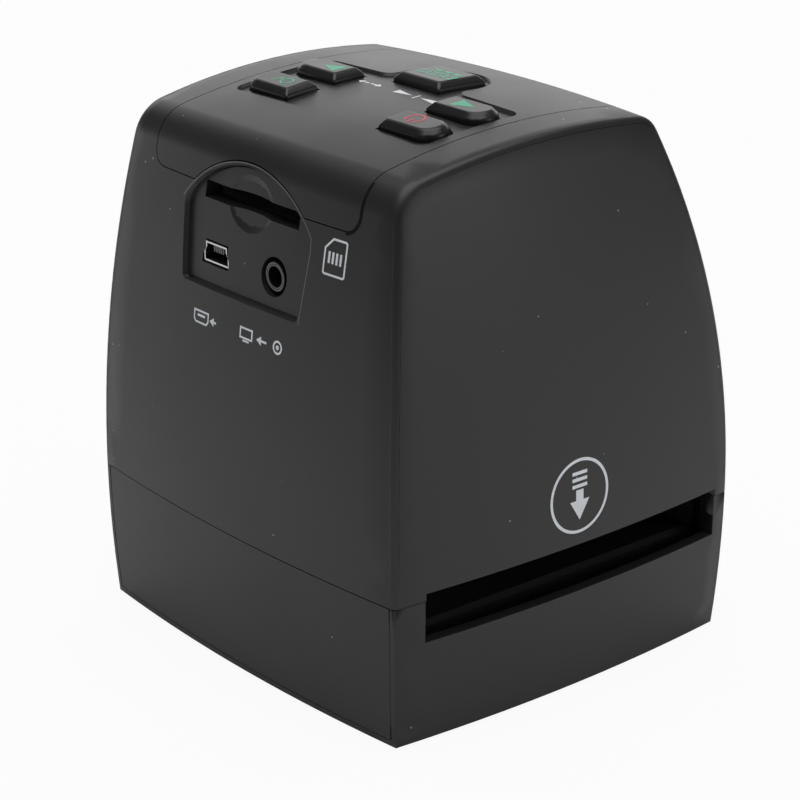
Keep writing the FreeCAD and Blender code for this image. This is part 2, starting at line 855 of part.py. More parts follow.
def make_av_jack():
    """The round picture socket: a block with a ringed bore."""
    mouth = jack_mouth_y()
    plate_back = back_y_at(jack_x, socket_height, wall + port_plate_thickness) - port_plate_thickness
    ring = Part.makeCylinder(jack_ring_radius, mouth - plate_back, V(jack_x, plate_back, socket_height),
                             V(0, 1, 0))
    top = main_board_underside
    body = box(V(jack_x - 0.5 * jack_body_width, plate_back - jack_body_length,
                 socket_height - 0.5 * jack_body_width),
               V(jack_x + 0.5 * jack_body_width, plate_back, top))
    bore = Part.makeCylinder(jack_bore_radius, jack_bore_length + overrun,
                             V(jack_x, mouth - jack_bore_length, socket_height), V(0, 1, 0))
    return joined([body, ring]).cut(bore)


def make_base_shell(base_outer, base_inner):
    """The bottom tray with the two slotted side walls."""
    shell = base_outer.cut(base_inner).common(slab(0, seam_height))
    floor_plate = base_outer.common(slab(0, floor_thickness))
    shell = joined([shell.common(slab(0.5 * floor_thickness, seam_height)), floor_plate])
    panel_back = sharp_case(base_setback + lower_panel_thickness)
    seat_back = sharp_case(base_setback + lower_panel_thickness + lower_panel_seat)
    gap_top = seam_height + wall
    gaps = [base_outer.cut(panel_back).common(lower_panel_room(0, lower_panel_bottom, gap_top, direction))
            for direction in (-1, 1)]
    seats = [panel_back.cut(seat_back).common(lower_panel_room(0, floor_thickness, seam_height, direction))
             for direction in (-1, 1)]
    half = half_width - side_plan_rise - lower_panel_side - wall
    doorway = box(V(-half, -case_depth, floor_thickness), V(half, case_depth, gap_top))
    shell = joined([shell] + seats).cut(gaps + [doorway, film_passage()])
    groove_low = seam_height - seam_groove_height
    groove = base_outer.cut(sharp_case(base_setback + seam_groove_depth))
    shell = shell.cut(groove.common(slab(groove_low, gap_top)))
    bosses = []
    for x, y in base_boss_places():
        wide = base_screw_head_radius + base_screw_room + base_boss_wall
        lower = rod(wide, 0, base_screw_seat + wall, x, y).common(base_outer)
        upper = rod(base_boss_radius, base_screw_seat, seam_height, x, y).common(base_outer)
        bosses += [lower.cut(film_passage()), upper]
    shell = joined([shell] + bosses)
    holes = list(gaps)
    for x, y in base_boss_places():
        holes.append(rod(base_screw_head_radius + base_screw_room, -overrun, base_screw_seat, x, y))
        holes.append(rod(base_screw_radius + base_screw_room, 0, seam_height + wall, x, y))
    for x, y in foot_places():
        holes.append(rod(foot_radius, -overrun, foot_inset, x, y))
    shell = shell.cut(holes)
    return max(shell.Solids, key=lambda solid: solid.Volume)


def lower_panel_room(gap, bottom, top, direction):
    """The room of a lower panel, at one end of the case, between lines that follow the case's two sides."""
    start = direction * (half_depth - lower_panel_reach)
    end = direction * case_depth
    strip = box(V(-half_width, min(start, end), bottom), V(half_width, max(start, end), top))
    return side_walls(lower_panel_side + gap).common(strip)


def make_lower_panel(base_outer, direction):
    """The panel that closes the base below the sockets or below the display."""
    skin = base_outer.cut(sharp_case(base_setback + lower_panel_thickness))
    return skin.common(lower_panel_room(panel_gap, lower_panel_bottom + fine_gap, seam_height - seam_gap,
                                        direction))


def foot_places():
    """The four feet."""
    return [(x, y) for x in (-foot_x, foot_x) for y in (-foot_y, foot_y)]


def make_rubber_feet():
    """Four round feet set in the underside."""
    return group([rod(foot_radius, -foot_proud, foot_inset, x, y) for x, y in foot_places()])


def plain_screw(radius, head_radius, head_height, length):
    """A pan head screw pointing up from its head, with its seat at height zero."""
    return joined([rod(head_radius, -head_height, 0), rod(radius, -0.5 * head_height, length)])


def make_base_screws():
    """The two long screws that hold the base to the upper casing."""
    screws = []
    for x, y in base_boss_places():
        screw = plain_screw(base_screw_radius, base_screw_head_radius, base_screw_head_height,
                              base_screw_length)
        screw.translate(V(x, y, base_screw_seat))
        screws.append(screw)
    return group(screws)


def make_film_guide_lower(room):
    """The lower film guide: slide face, side rails, light window, legs and click stop cup."""
    low = guide_floor_underside
    outer_front = slot_front_y - guide_rail
    outer_back = slot_back_y + guide_rail
    depth = outer_back - outer_front
    plate = centred_box(2 * guide_half_width, depth, low, guide_rail_split, 0, slot_middle_y)
    channel = box(V(-half_width, slot_front_y, slot_bottom), V(half_width, slot_back_y, slot_top))
    plate = plate.cut(channel)
    lead_edges = [edge for edge in plate.Edges
                  if edge.BoundBox.YLength > 0.5 * depth and abs(edge.CenterOfMass.z - slot_bottom) < fine_gap]
    plate = plate.makeChamfer(slot_lead_in, lead_edges)
    aprons = [centred_box(guide_apron_thickness, depth, low - guide_apron_drop, low,
                          side * (guide_half_width - 0.5 * guide_apron_thickness), slot_middle_y)
              for side in (-1, 1)]
    legs = [rod(guide_leg_radius, floor_thickness, slot_bottom - 0.5 * guide_thickness, x,
                slot_middle_y + y)
            for x in (-guide_leg_x, guide_leg_x) for y in (-guide_leg_y, guide_leg_y)]
    cup_low = detent_seat_height() - detent_cup_wall
    cup_radius = detent_body_radius + running_gap + detent_cup_wall
    cup = rod(cup_radius, cup_low, slot_bottom - 0.5 * guide_thickness, detent_x, detent_y)
    guide = joined([plate, cup] + aprons + legs).common(room)
    shoulder = slot_bottom - detent_shoulder_drop + fine_gap
    window = centred_box(light_window_width, light_window_depth, 0, slot_top, 0, optic_y)
    ledge = centred_box(light_window_width + 2 * diffuser_ledge, light_window_depth + 2 * diffuser_ledge,
                        0, slot_bottom - 0.5 * guide_thickness, 0, optic_y)
    bore = rod(detent_body_radius + running_gap, detent_seat_height(), shoulder, detent_x, detent_y)
    pin_hole = rod(detent_pin_radius + running_gap, 0.5 * (low + slot_bottom), slot_top, detent_x, detent_y)
    return guide.cut([window, ledge, bore, pin_hole])


def make_film_guide_upper(room):
    """The upper film guide: gate plate over the film, with side rails and board posts."""
    outer_front = slot_front_y - guide_rail
    outer_back = slot_back_y + guide_rail
    plate = centred_box(2 * guide_half_width, outer_back - outer_front, guide_rail_split,
                        slot_top + guide_thickness, 0, slot_middle_y)
    channel = box(V(-half_width, slot_front_y, slot_bottom), V(half_width, slot_back_y, slot_top))
    plate = plate.cut(channel).common(room)
    gate = centred_box(gate_width, gate_depth, 0, case_height, 0, optic_y)
    posts = []
    for x in (-post_x, post_x):
        for y in (post_front_y, post_back_y):
            post = rod(post_radius, slot_top + 0.5 * guide_thickness, main_board_underside, x, y)
            post = post.cut(rod(board_screw_radius, main_board_underside - board_screw_bite,
                                main_board_underside + wall, x, y))
            posts.append(post)
    return joined([plate] + posts).cut(gate)


def detent_seat_height():
    """The floor of the click stop's cup."""
    return slot_bottom - detent_shoulder_drop - detent_body_length - detent_spring_height


def make_detent_plunger():
    """The sprung pin that clicks into the film holder: a stepped pin with a round nose."""
    shoulder = slot_bottom - detent_shoulder_drop
    body = rod(detent_body_radius, shoulder - detent_body_length, shoulder, detent_x, detent_y)
    nose = detent_pin_radius
    pin = rod(nose, shoulder - detent_cup_wall, slot_bottom + detent_proud - 0.5 * nose, detent_x, detent_y)
    ball = arc_radius(nose, 0.5 * nose)
    tip = Part.makeSphere(ball, V(detent_x, detent_y, slot_bottom + detent_proud - ball))
    tip = tip.common(rod(nose, slot_bottom + detent_proud - 0.5 * nose, slot_bottom + detent_proud,
                         detent_x, detent_y))
    return joined([body, pin, tip])


def make_detent_spring():
    """The folded flat spring under the click stop pin: a zigzag strip of even width."""
    low = detent_seat_height()
    rise = (detent_spring_height - detent_leaf) / detent_folds
    reach = detent_body_radius - detent_leaf
    front = detent_y - 0.5 * reach
    leaves = []
    for index in range(detent_folds):
        side = reach * (-1) ** index
        start = V(detent_x - side, front, low + rise * index)
        end = V(detent_x + side, front, low + rise * (index + 1))
        lift = V(0, 0, detent_leaf)
        outline = Part.makePolygon([start, end, end + lift, start + lift, start])
        leaves.append(Part.Face(outline).extrude(V(0, reach, 0)))
    return joined(leaves)


def make_diffuser():
    """The milky plate under the film, on its ledge."""
    top = slot_bottom - 0.5 * guide_thickness
    room = 2 * (diffuser_ledge - fine_gap)
    return centred_box(light_window_width + room, light_window_depth + room, top - diffuser_thickness, top,
                       0, optic_y)


def light_box_outer(bottom_grow):
    """The size of the light box over its walls, at its foot."""
    return (light_window_width + 2 * bottom_grow, light_window_depth + 2 * bottom_grow)


def make_light_box():
    """The open-topped box that mixes the light under the diffuser."""
    top = slot_bottom - 0.5 * guide_thickness - diffuser_thickness
    width, depth = light_box_outer(diffuser_ledge)
    foot_width, foot_depth = light_box_outer(-light_box_wall)
    outer = taper_block(foot_width, foot_depth, width, depth, light_board_top, top)
    inner = taper_block(foot_width - 2 * light_box_wall, foot_depth - 2 * light_box_wall,
                        width - 2 * light_box_wall, depth - 2 * light_box_wall, light_board_top, top)
    return outer.cut(inner)


def taper_block(low_width, low_depth, high_width, high_depth, bottom, top):
    """A tapered block on the optical axis, with six flat faces."""
    rings = []
    for width, depth, z in ((low_width, low_depth, bottom), (high_width, high_depth, top)):
        rings.append([V(sx * 0.5 * width, optic_y + sy * 0.5 * depth, z)
                      for sx, sy in ((-1, -1), (1, -1), (1, 1), (-1, 1))])
    low, high = rings
    loops = [low, high]
    for index in range(4):
        following = (index + 1) % 4
        loops.append([low[index], low[following], high[following], high[index]])
    faces = [Part.Face(Part.makePolygon(loop + [loop[0]])) for loop in loops]
    return Part.Solid(Part.Shell(faces))


def make_backlight_board():
    """The lamp board on its four pads."""
    width, depth = light_box_outer(light_board_margin)
    board = centred_box(width, depth, light_board_underside, light_board_top, 0, optic_y)
    inset = 2 * light_board_margin
    pads = [rod(light_board_margin, floor_thickness, light_board_underside,
                sx * (0.5 * width - inset), optic_y + sy * (0.5 * depth - inset))
            for sx in (-1, 1) for sy in (-1, 1)]
    return joined([board] + pads)


def make_backlight_leds():
    """The grid of lamps on their board."""
    width, depth = light_box_outer(-2 * light_box_wall - led_size)
    lamps = []
    for column in range(led_columns):
        for row in range(led_rows):
            x = width * (column / (led_columns - 1) - 0.5)
            y = optic_y + depth * (row / (led_rows - 1) - 0.5)
            lamps.append(centred_box(led_size, led_size, light_board_top, light_board_top + led_height, x, y))
    return group(lamps)


def make_camera_hood():
    """The tapered dark hood between the film gate and the lens."""
    low = slot_top + guide_thickness
    width = gate_width + 2 * hood_margin
    depth = gate_depth + 2 * hood_margin
    outer = taper_block(width, depth, hood_top_size, hood_top_size, low, hood_top)
    inner = taper_block(width - 2 * hood_wall, depth - 2 * hood_wall, hood_top_size - 2 * hood_wall,
                        hood_top_size - 2 * hood_wall, low, hood_top)
    inner = inner.cut(slab(hood_top - hood_wall, hood_top + wall))
    collar = rod(lens_radius + hood_wall, hood_top - hood_wall, hood_top + wall, 0, optic_y)
    return joined([outer.cut(inner), collar]).cut(rod(lens_radius, 0, case_height, 0, optic_y))


def make_lens_barrel():
    """The lens barrel: a focus ring on a tube, with a square foot under the sensor board."""
    tube = rod(lens_radius, lens_bottom, lens_top, 0, optic_y)
    ring_low = hood_top + wall
    ring = rod(lens_radius + lens_wall, ring_low, lens_top - lens_wall, 0, optic_y)
    foot = centred_box(lens_foot_size, lens_foot_size, lens_top - lens_wall, sensor_board_underside, 0,
                       optic_y)
    bore = rod(lens_radius - lens_wall, 0, lens_top, 0, optic_y)
    sensor_room = centred_box(sensor_size + lens_wall, sensor_size + lens_wall, lens_top - lens_wall,
                              sensor_board_underside, 0, optic_y)
    return joined([tube, ring, foot]).cut([bore, sensor_room])


def make_lens_elements():
    """The glass of the lens: two discs, each with bevelled rims."""
    radius = lens_radius - lens_wall
    half = 0.5 * lens_glass_thickness
    discs = []
    for z in (lens_bottom + lens_glass_thickness, lens_top - 2 * lens_glass_thickness):
        for tip in (-half, half):
            cone = Part.makeCone(radius, lens_flat_share * radius, half, V(0, optic_y, z),
                                 V(0, 0, tip).normalize())
            discs.append(cone)
    return group([joined(discs[:2]), joined(discs[2:])])


def make_image_sensor():
    """The picture chip under its board."""
    return centred_box(sensor_size, sensor_size, sensor_board_underside - sensor_thickness,
                       sensor_board_underside, 0, optic_y)


def make_sensor_board():
    """The small board over the lens."""
    top = sensor_board_underside + sensor_board_thickness
    return centred_box(sensor_board_size, sensor_board_size, sensor_board_underside, top, 0, optic_y)


def cover_boss_places():
    """The four places where the button board is screwed to the cover."""
    return [(x, y) for x in (-cover_boss_x, cover_boss_x) for y in (cover_boss_front_y, cover_boss_back_y)]


def make_main_board():
    """The main circuit board, carried on four posts."""
    low = V(-main_board_half_width, main_board_front_y, main_board_underside)
    high = V(main_board_half_width, main_board_back_y, main_board_underside + board_thickness)
    board = box(low, high)
    holes = [rod(board_screw_radius, 0, case_height, x, y)
             for x in (-post_x, post_x) for y in (post_front_y, post_back_y)]
    return board.cut(holes)


def make_keypad_board():
    """The board under the buttons, with the card socket on its underside."""
    low = V(-keypad_board_half_width, keypad_board_front_y, keypad_board_underside)
    high = V(keypad_board_half_width, keypad_board_back_y, keypad_board_top)
    holes = [rod(board_screw_radius, 0, case_height, x, y) for x, y in cover_boss_places()]
    return box(low, high).cut(holes)


def make_keypad_screws():
    """The screws that hold the button board up against the cover."""
    screws = []
    for x, y in cover_boss_places():
        screw = plain_screw(board_screw_radius, board_screw_head_radius, board_screw_head_height,
                              board_thickness + board_screw_bite - screw_end_gap)
        screw.translate(V(x, y, keypad_board_underside))
        screws.append(screw)
    return group(screws)


def make_board_link():
    """The pin header that joins the button board to the main board."""
    bottom = main_board_underside + board_thickness
    return centred_box(link_width, link_depth, bottom, keypad_board_underside, 0, link_y)


def make_processor_chips():
    """The picture processor and its two memory chips on the main board."""
    bottom = main_board_underside + board_thickness
    processor = centred_box(chip_size, chip_size, bottom, bottom + chip_height, chip_x, chip_y)
    memory_width = memory_width_share * chip_size
    apart = memory_place_share * chip_size
    memories = [centred_box(memory_width, chip_size, bottom, bottom + chip_height, -chip_x, chip_y + offset)
                for offset in (-apart, apart)]
    return group([processor] + memories)


def make_board_screws():
    """The screws that hold the main board to its posts."""
    screws = []
    for x in (-post_x, post_x):
        for y in (post_front_y, post_back_y):
            screw = plain_screw(board_screw_radius, board_screw_head_radius, board_screw_head_height,
                                  board_thickness + board_screw_bite - screw_end_gap)
            screw.rotate(V(0, 0, 0), V(1, 0, 0), 180)
            screw.translate(V(x, y, main_board_underside + board_thickness))
            screws.append(screw)
    return group(screws)


def make_switch_bodies():
    """The five key switch housings on the button board."""
    bodies = []
    for name in button_names:
        x, y = button_middle(name)
        body = centred_box(switch_size, switch_size, keypad_board_top, keypad_board_top + switch_body_height,
                           x, y)
        well = keypad_board_top + 0.5 * (switch_body_height - switch_plunger_foot)
        body = body.cut(rod(switch_plunger_radius + running_gap, well, case_height, x, y))
        bodies.append(body)
    return group(bodies)


def make_switch_plunger(name):
    """The round plunger of one key switch."""
    x, y = button_middle(name)
    bottom = keypad_board_top + switch_body_height - switch_plunger_foot
    return rod(switch_plunger_radius, bottom, switch_top, x, y)


def on_top(shape, name):
    """Carry a button drawn about height zero to the sloping floor of the dip in the cover."""
    x, y = button_middle(name)
    shape.rotate(V(x, y, 0), V(1, 0, 0), lean_at(y))
    shape.translate(V(0, 0, top_z_at(x, y) - keypad_dip))
    return shape


def make_button(name):
    """One button: a bevelled cap, a skirt in the cover's hole, a flange below it and a stem."""
    x, y = button_middle(name)
    cap = button_prism(name, 0, 0, button_proud)
    crest_edges = [edge for edge in cap.Edges if edge.CenterOfMass.z > button_proud - fine_gap]
    cap = cap.makeChamfer(button_bevel, crest_edges)
    flange_top = keypad_dip - cover_thickness - button_gap - button_flange_drop
    flange_bottom = flange_top - button_flange_thickness
    skirt = button_prism(name, 0, flange_bottom, 0)
    flange = button_prism(name, button_flange, flange_bottom, flange_top)
    head = on_top(joined([cap, skirt, flange]), name)
    stem = rod(button_stem_radius, switch_top, top_z_at(x, y) - keypad_dip + flange_top, x, y)
    return joined([head, stem])


def ribbon(points, width, bend):
    """A flat ribbon cable: a strip that follows straight runs joined by round bends, in a plane across X."""
    line = [points[0]]
    edges = []
    start = points[0]
    for index in range(1, len(points) - 1):
        corner = points[index]
        before = (points[index - 1] - corner).normalize()
        after = (points[index + 1] - corner).normalize()
        half_angle = 0.5 * before.getAngle(after)
        back_off = bend / math.tan(half_angle)
        first = corner + before * back_off
        last = corner + after * back_off
        middle_way = (before + after).normalize()
        centre = corner + middle_way * (bend / math.sin(half_angle))
        edges.append(Part.makeLine(start, first))
        edges.append(Part.Arc(first, centre - middle_way * bend, last).toShape())
        start = last
    edges.append(Part.makeLine(start, points[-1]))
    spine = Part.Wire(edges)
    direction = (points[1] - points[0]).normalize()
    across = V(0, -direction.z, direction.y)
    corners = [points[0] + V(sx * 0.5 * width, 0, 0) + across * (sy * 0.5 * ribbon_thickness)
               for sx, sy in ((-1, -1), (1, -1), (1, 1), (-1, 1))]
    section = Part.makePolygon(corners + [corners[0]])
    return spine.makePipeShell([section], True, False)


def make_display_ribbon():
    """The ribbon from the display to the main board."""
    slant = math.asin((display_height - deepest_height) / front_arch_radius)
    back = module_setback + module_thickness + ribbon_thickness
    start_up = display_ribbon_start_share * module_length
    start = V(0, front_y_at(0, display_height) + back * math.cos(slant) + start_up * math.sin(slant),
              display_height - back * math.sin(slant) + start_up * math.cos(slant))
    end = V(0, main_board_front_y + wall, main_board_underside)
    return ribbon([start, V(0, end.y, start.z), end], display_ribbon_width, ribbon_bend)


def make_sensor_ribbon():
    """The ribbon from the picture sensor's board to the main board."""
    start = V(0, optic_y + 0.5 * sensor_board_size, sensor_board_underside + 0.5 * sensor_board_thickness)
    end = V(0, start.y + wall, main_board_underside)
    return ribbon([start, V(0, end.y, start.z), end], sensor_ribbon_width, ribbon_bend)


def make_backlight_ribbon():
    """The ribbon from the lamp board up the back of the case to the main board."""
    width, depth = light_box_outer(light_board_margin)
    start = V(0, optic_y + 0.5 * depth, light_board_underside + 0.5 * board_thickness)
    up_y = slot_back_y + guide_rail + wall
    in_y = main_board_back_y - wall
    turn_z = 0.5 * (slot_top + main_board_underside)
    end = V(0, in_y, main_board_underside)
    last_bend = end - V(0, 0, light_ribbon_rise)
    return ribbon([start, V(0, up_y, start.z), V(0, up_y, turn_z), last_bend, end],
                  light_ribbon_width, light_ribbon_bend)


def build():
    """Every piece of the scanner by its name."""
    outer = rounded_case()
    inner = sharp_case(wall)
    guide_room = sharp_case(wall + panel_gap)
    inner_cover = sharp_case(cover_thickness)
    dip_floor = sharp_case(keypad_dip)
    base_outer = outer.common(sharp_case(base_setback))
    pieces = {
        "upper_housing": make_upper_housing(outer, inner),
        "top_cover": make_top_cover(outer, inner_cover, dip_floor),
        "display_bezel": make_display_bezel(outer, inner),
        "display_window": make_display_window(),
        "display_frame": make_display_frame(inner),
        "display_module": make_display_module(),
        "port_plate": make_port_plate(),
        "card_socket": make_card_socket(),
        "usb_socket": make_usb_socket(),
        "av_jack": make_av_jack(),
        "base_shell": make_base_shell(base_outer, inner),
        "rear_lower_panel": make_lower_panel(base_outer, 1),
        "front_lower_panel": make_lower_panel(base_outer, -1),
        "rubber_feet": make_rubber_feet(),
        "base_screws": make_base_screws(),
        "film_guide_lower": make_film_guide_lower(guide_room),
        "film_guide_upper": make_film_guide_upper(guide_room),
        "detent_plunger": make_detent_plunger(),
        "detent_spring": make_detent_spring(),
        "diffuser": make_diffuser(),
        "light_box": make_light_box(),
        "backlight_board": make_backlight_board(),
        "backlight_leds": make_backlight_leds(),
        "camera_hood": make_camera_hood(),
        "lens_barrel": make_lens_barrel(),
        "lens_elements": make_lens_elements(),
        "image_sensor": make_image_sensor(),
        "sensor_board": make_sensor_board(),
        "main_board": make_main_board(),
        "keypad_board": make_keypad_board(),
        "keypad_screws": make_keypad_screws(),
        "board_link": make_board_link(),
        "processor_chips": make_processor_chips(),
        "board_screws": make_board_screws(),
        "switch_bodies": make_switch_bodies(),
        "display_ribbon": make_display_ribbon(),
        "sensor_ribbon": make_sensor_ribbon(),
        "backlight_ribbon": make_backlight_ribbon(),
    }
    for name in button_names:
        pieces[name + "_button"] = make_button(name)
        pieces[name + "_switch_plunger"] = make_switch_plunger(name)
    return pieces


def main():
    """Write one file for each piece, standing on its feet."""
    os.makedirs("parts", exist_ok=True)
    for name, shape in build().items():
        shape.translate(V(0, 0, foot_proud))
        shape.exportStep("parts/" + name + ".step")
        print(name, "solids", len(shape.Solids), "volume", round(shape.Volume, 1), shape.isValid())


if __name__ == "__main__":
    main()
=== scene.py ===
import json
import math

import bmesh
import bpy
import numpy as np
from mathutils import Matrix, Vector
from mathutils.bvhtree import BVHTree

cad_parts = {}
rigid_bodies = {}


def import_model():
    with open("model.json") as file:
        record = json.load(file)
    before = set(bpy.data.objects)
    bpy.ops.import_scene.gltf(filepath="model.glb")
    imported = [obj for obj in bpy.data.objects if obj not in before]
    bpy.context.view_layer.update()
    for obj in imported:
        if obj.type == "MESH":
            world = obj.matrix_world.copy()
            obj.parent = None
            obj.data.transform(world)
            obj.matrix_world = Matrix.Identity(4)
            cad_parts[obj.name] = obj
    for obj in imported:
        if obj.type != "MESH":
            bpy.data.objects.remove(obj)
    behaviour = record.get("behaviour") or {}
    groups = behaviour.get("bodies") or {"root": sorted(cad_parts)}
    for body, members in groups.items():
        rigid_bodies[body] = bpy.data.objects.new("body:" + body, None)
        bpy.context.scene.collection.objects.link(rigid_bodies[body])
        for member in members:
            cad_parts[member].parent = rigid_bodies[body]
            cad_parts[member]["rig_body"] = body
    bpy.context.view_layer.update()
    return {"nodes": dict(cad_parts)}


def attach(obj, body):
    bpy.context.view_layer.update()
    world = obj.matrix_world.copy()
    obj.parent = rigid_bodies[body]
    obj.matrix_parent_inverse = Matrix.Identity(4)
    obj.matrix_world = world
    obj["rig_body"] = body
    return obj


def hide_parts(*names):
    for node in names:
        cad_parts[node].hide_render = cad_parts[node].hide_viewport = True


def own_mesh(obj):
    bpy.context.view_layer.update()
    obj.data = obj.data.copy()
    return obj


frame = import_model()

# Lengths are in millimetres, apart from the stage's, and MM carries them into the scene's metres.
MM = 0.001
# The feet lift the case by this much.
FOOT = 0.5


def arc_radius(half_span, rise):
    """The radius of an arc that rises by a length over half its span, or leans in by it over its height."""
    return 0.5 * (half_span ** 2 / rise + rise)


# The case's arches, as they are in the solids.
HALF_WIDTH = 43.325
HALF_DEPTH = 40.8
HEIGHT = 97.9
WIDEST_HEIGHT = 25.3
DEEPEST_HEIGHT = 27.1
SIDE_ARCH = arc_radius(HEIGHT - WIDEST_HEIGHT, 7.91)
BACK_ARCH = arc_radius(HEIGHT - DEEPEST_HEIGHT, 7.83)
FRONT_ARCH = arc_radius(HEIGHT - DEEPEST_HEIGHT, 17.97)
FOOT_ARCH = arc_radius(DEEPEST_HEIGHT, 1.27)
SIDE_PLAN_ARCH = arc_radius(38.3, 2.12)
END_PLAN_RISE = 2.21
END_PLAN_SPAN = 40.9
TOP_ARCH = 145.0
TOP_APEX_Y = -2.9
TOP_CROSS = 657.0
BACK_CORNER = 7.0
FRONT_CORNER = 5.0
EDGE_ROUND = 1.1

SLOPE_STEP = 0.01
SKIN_STEPS = 6
TINY = 1e-9


# The shape of the case, as a distance from its skin

def blend_centre(ay, az, ra, by, bz, rb, r, upper):
    """A corner arc's centre inside two larger arcs: where circles of their radii, less its own, cross."""
    reach_a = ra - r
    reach_b = rb - r
    apart = np.hypot(by - ay, bz - az)
    along = (reach_a ** 2 - reach_b ** 2 + apart ** 2) / (2 * apart)
    across = np.sqrt(reach_a ** 2 - along ** 2) * upper
    ey = (by - ay) / apart
    ez = (bz - az) / apart
    return ay + along * ey - across * ez, az + along * ez + across * ey


def corner_distance(y, z, flat, ay, az, ra, by, bz, rb, r, upper):
    """Distance from a rounded corner: between the two radii that it touches, the corner arc rules."""
    cy, cz = blend_centre(ay, az, ra, by, bz, rb, r, upper)
    qy, qz = y - cy, z - cz
    uy, uz = (cy - ay), (cz - az)
    vy, vz = (cy - by), (cz - bz)
    turn = np.sign(uy * vz - uz * vy)
    inside = ((uy * qz - uz * qy) * turn > 0) & ((qy * vz - qz * vy) * turn > 0)
    return np.where(inside, np.hypot(qy, qz) - r, flat)


def half_width_at(y, z):
    """Half the width between the case's bulged sides, at a place along it and a height."""
    lean_in = SIDE_ARCH - np.sqrt(SIDE_ARCH ** 2 - (z - WIDEST_HEIGHT) ** 2)
    return HALF_WIDTH - lean_in - SIDE_PLAN_ARCH + np.sqrt(SIDE_PLAN_ARCH ** 2 - y ** 2)


def skin_parts(points):
    """Signed distances in mm from the case's outline seen from the side, and from its sides.

    The outline is made of arcs for the back, top, front and foot, joined by corner arcs, and drawn in towards
    both sides of the case. Points are in mm, with the case's underside at height zero.
    """
    x, y, z = points[:, 0], points[:, 1], points[:, 2]
    draw_in = END_PLAN_RISE * (x / END_PLAN_SPAN) ** 2
    drop = TOP_CROSS - np.sqrt(TOP_CROSS ** 2 - x ** 2)
    back_y = HALF_DEPTH - draw_in - BACK_ARCH
    front_y = FRONT_ARCH - HALF_DEPTH + draw_in
    foot_y = FOOT_ARCH - HALF_DEPTH + draw_in
    top_z = HEIGHT - drop - TOP_ARCH
    level = z - DEEPEST_HEIGHT
    back = np.hypot(y - back_y, level) - BACK_ARCH
    front = np.where(level > 0, np.hypot(y - front_y, level) - FRONT_ARCH,
                     np.hypot(y - foot_y, level) - FOOT_ARCH)
    top = np.hypot(y - TOP_APEX_Y, z - top_z) - TOP_ARCH
    outline = np.maximum(np.maximum(back, front), top)
    top_y = np.full_like(y, TOP_APEX_Y)
    deep_z = np.full_like(y, DEEPEST_HEIGHT)
    outline = corner_distance(y, z, outline, top_y, top_z, TOP_ARCH, back_y, deep_z, BACK_ARCH,
                              BACK_CORNER, -1)
    outline = corner_distance(y, z, outline, top_y, top_z, TOP_ARCH, front_y, deep_z, FRONT_ARCH,
                              FRONT_CORNER, 1)
    return outline, np.abs(x) - half_width_at(y, z)


def skin_distance(points):
    """Signed distance in mm from the case's skin: a small round joins the outline to the sides."""
    outline, side = skin_parts(points)
    a = np.maximum(outline + EDGE_ROUND, 0)
    b = np.maximum(side + EDGE_ROUND, 0)
    return np.hypot(a, b) + np.minimum(np.maximum(outline + EDGE_ROUND, side + EDGE_ROUND), 0) - EDGE_ROUND


def skin_normals(points):
    """The direction straight out of the skin: the slope of the distance, by central differences."""
    slopes = []
    for axis in range(3):
        shift = np.zeros(3)
        shift[axis] = SLOPE_STEP
        slopes.append(skin_distance(points + shift) - skin_distance(points - shift))
    normals = np.stack(slopes, axis=1)
    length = np.linalg.norm(normals, axis=1, keepdims=True)
    return normals / np.maximum(length, TINY)


def onto_skin(points, lift):
    """Points moved along the skin's normals until they stand at a height above it."""
    moved = points.copy()
    for _ in range(SKIN_STEPS):
        moved -= skin_normals(moved) * (skin_distance(moved) - lift)[:, None]
    return moved


# Mesh helpers

def new_piece(name, vertices_mm, faces, body, material):
    """A mesh piece from millimetre points, riding on a body, with one material."""
    mesh = bpy.data.meshes.new(name)
    mesh.from_pydata((np.asarray(vertices_mm) * MM).tolist(), [], faces)
    mesh.validate()
    piece = bpy.data.objects.new(name, mesh)
    bpy.context.scene.collection.objects.link(piece)
    mesh.materials.append(material)
    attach(piece, body)
    return piece


def merged_copy(node):
    """A copy of a CAD node with its loose triangles joined, standing for that node."""
    source = frame["nodes"][node]
    mesh = source.data.copy()
    piece = bpy.data.objects.new(node + "_finish", mesh)
    bpy.context.scene.collection.objects.link(piece)
    merge_doubles(mesh)
    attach(piece, source["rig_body"])
    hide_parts(node)
    return piece


def merge_doubles(mesh, gap=2e-6):
    """Join vertices that share a place, within a gap in metres."""
    work = bmesh.new()
    work.from_mesh(mesh)
    bmesh.ops.remove_doubles(work, verts=work.verts, dist=gap)
    bmesh.ops.dissolve_degenerate(work, edges=work.edges, dist=gap)
    work.to_mesh(mesh)
    work.free()


def square_up(mesh, turn=1.0):
    """Join the flat triangles of a face into one face, so that only real edges are rounded."""
    work = bmesh.new()
    work.from_mesh(mesh)
    bmesh.ops.dissolve_limit(work, angle_limit=math.radians(turn), verts=work.verts, edges=work.edges)
    work.to_mesh(mesh)
    work.free()


def finish_in(mesh, material):
    """Give a mesh one material in place of its own."""
    mesh.materials.clear()
    mesh.materials.append(material)


def smooth_by_angle(mesh, degrees=32):
    """Shade a mesh smooth, with its sharper edges kept."""
    mesh.shade_smooth()
    mesh.set_sharp_from_angle(angle=math.radians(degrees))


# Two directions whose cosine is above this count as alike.
SAME_WAY = 0.955


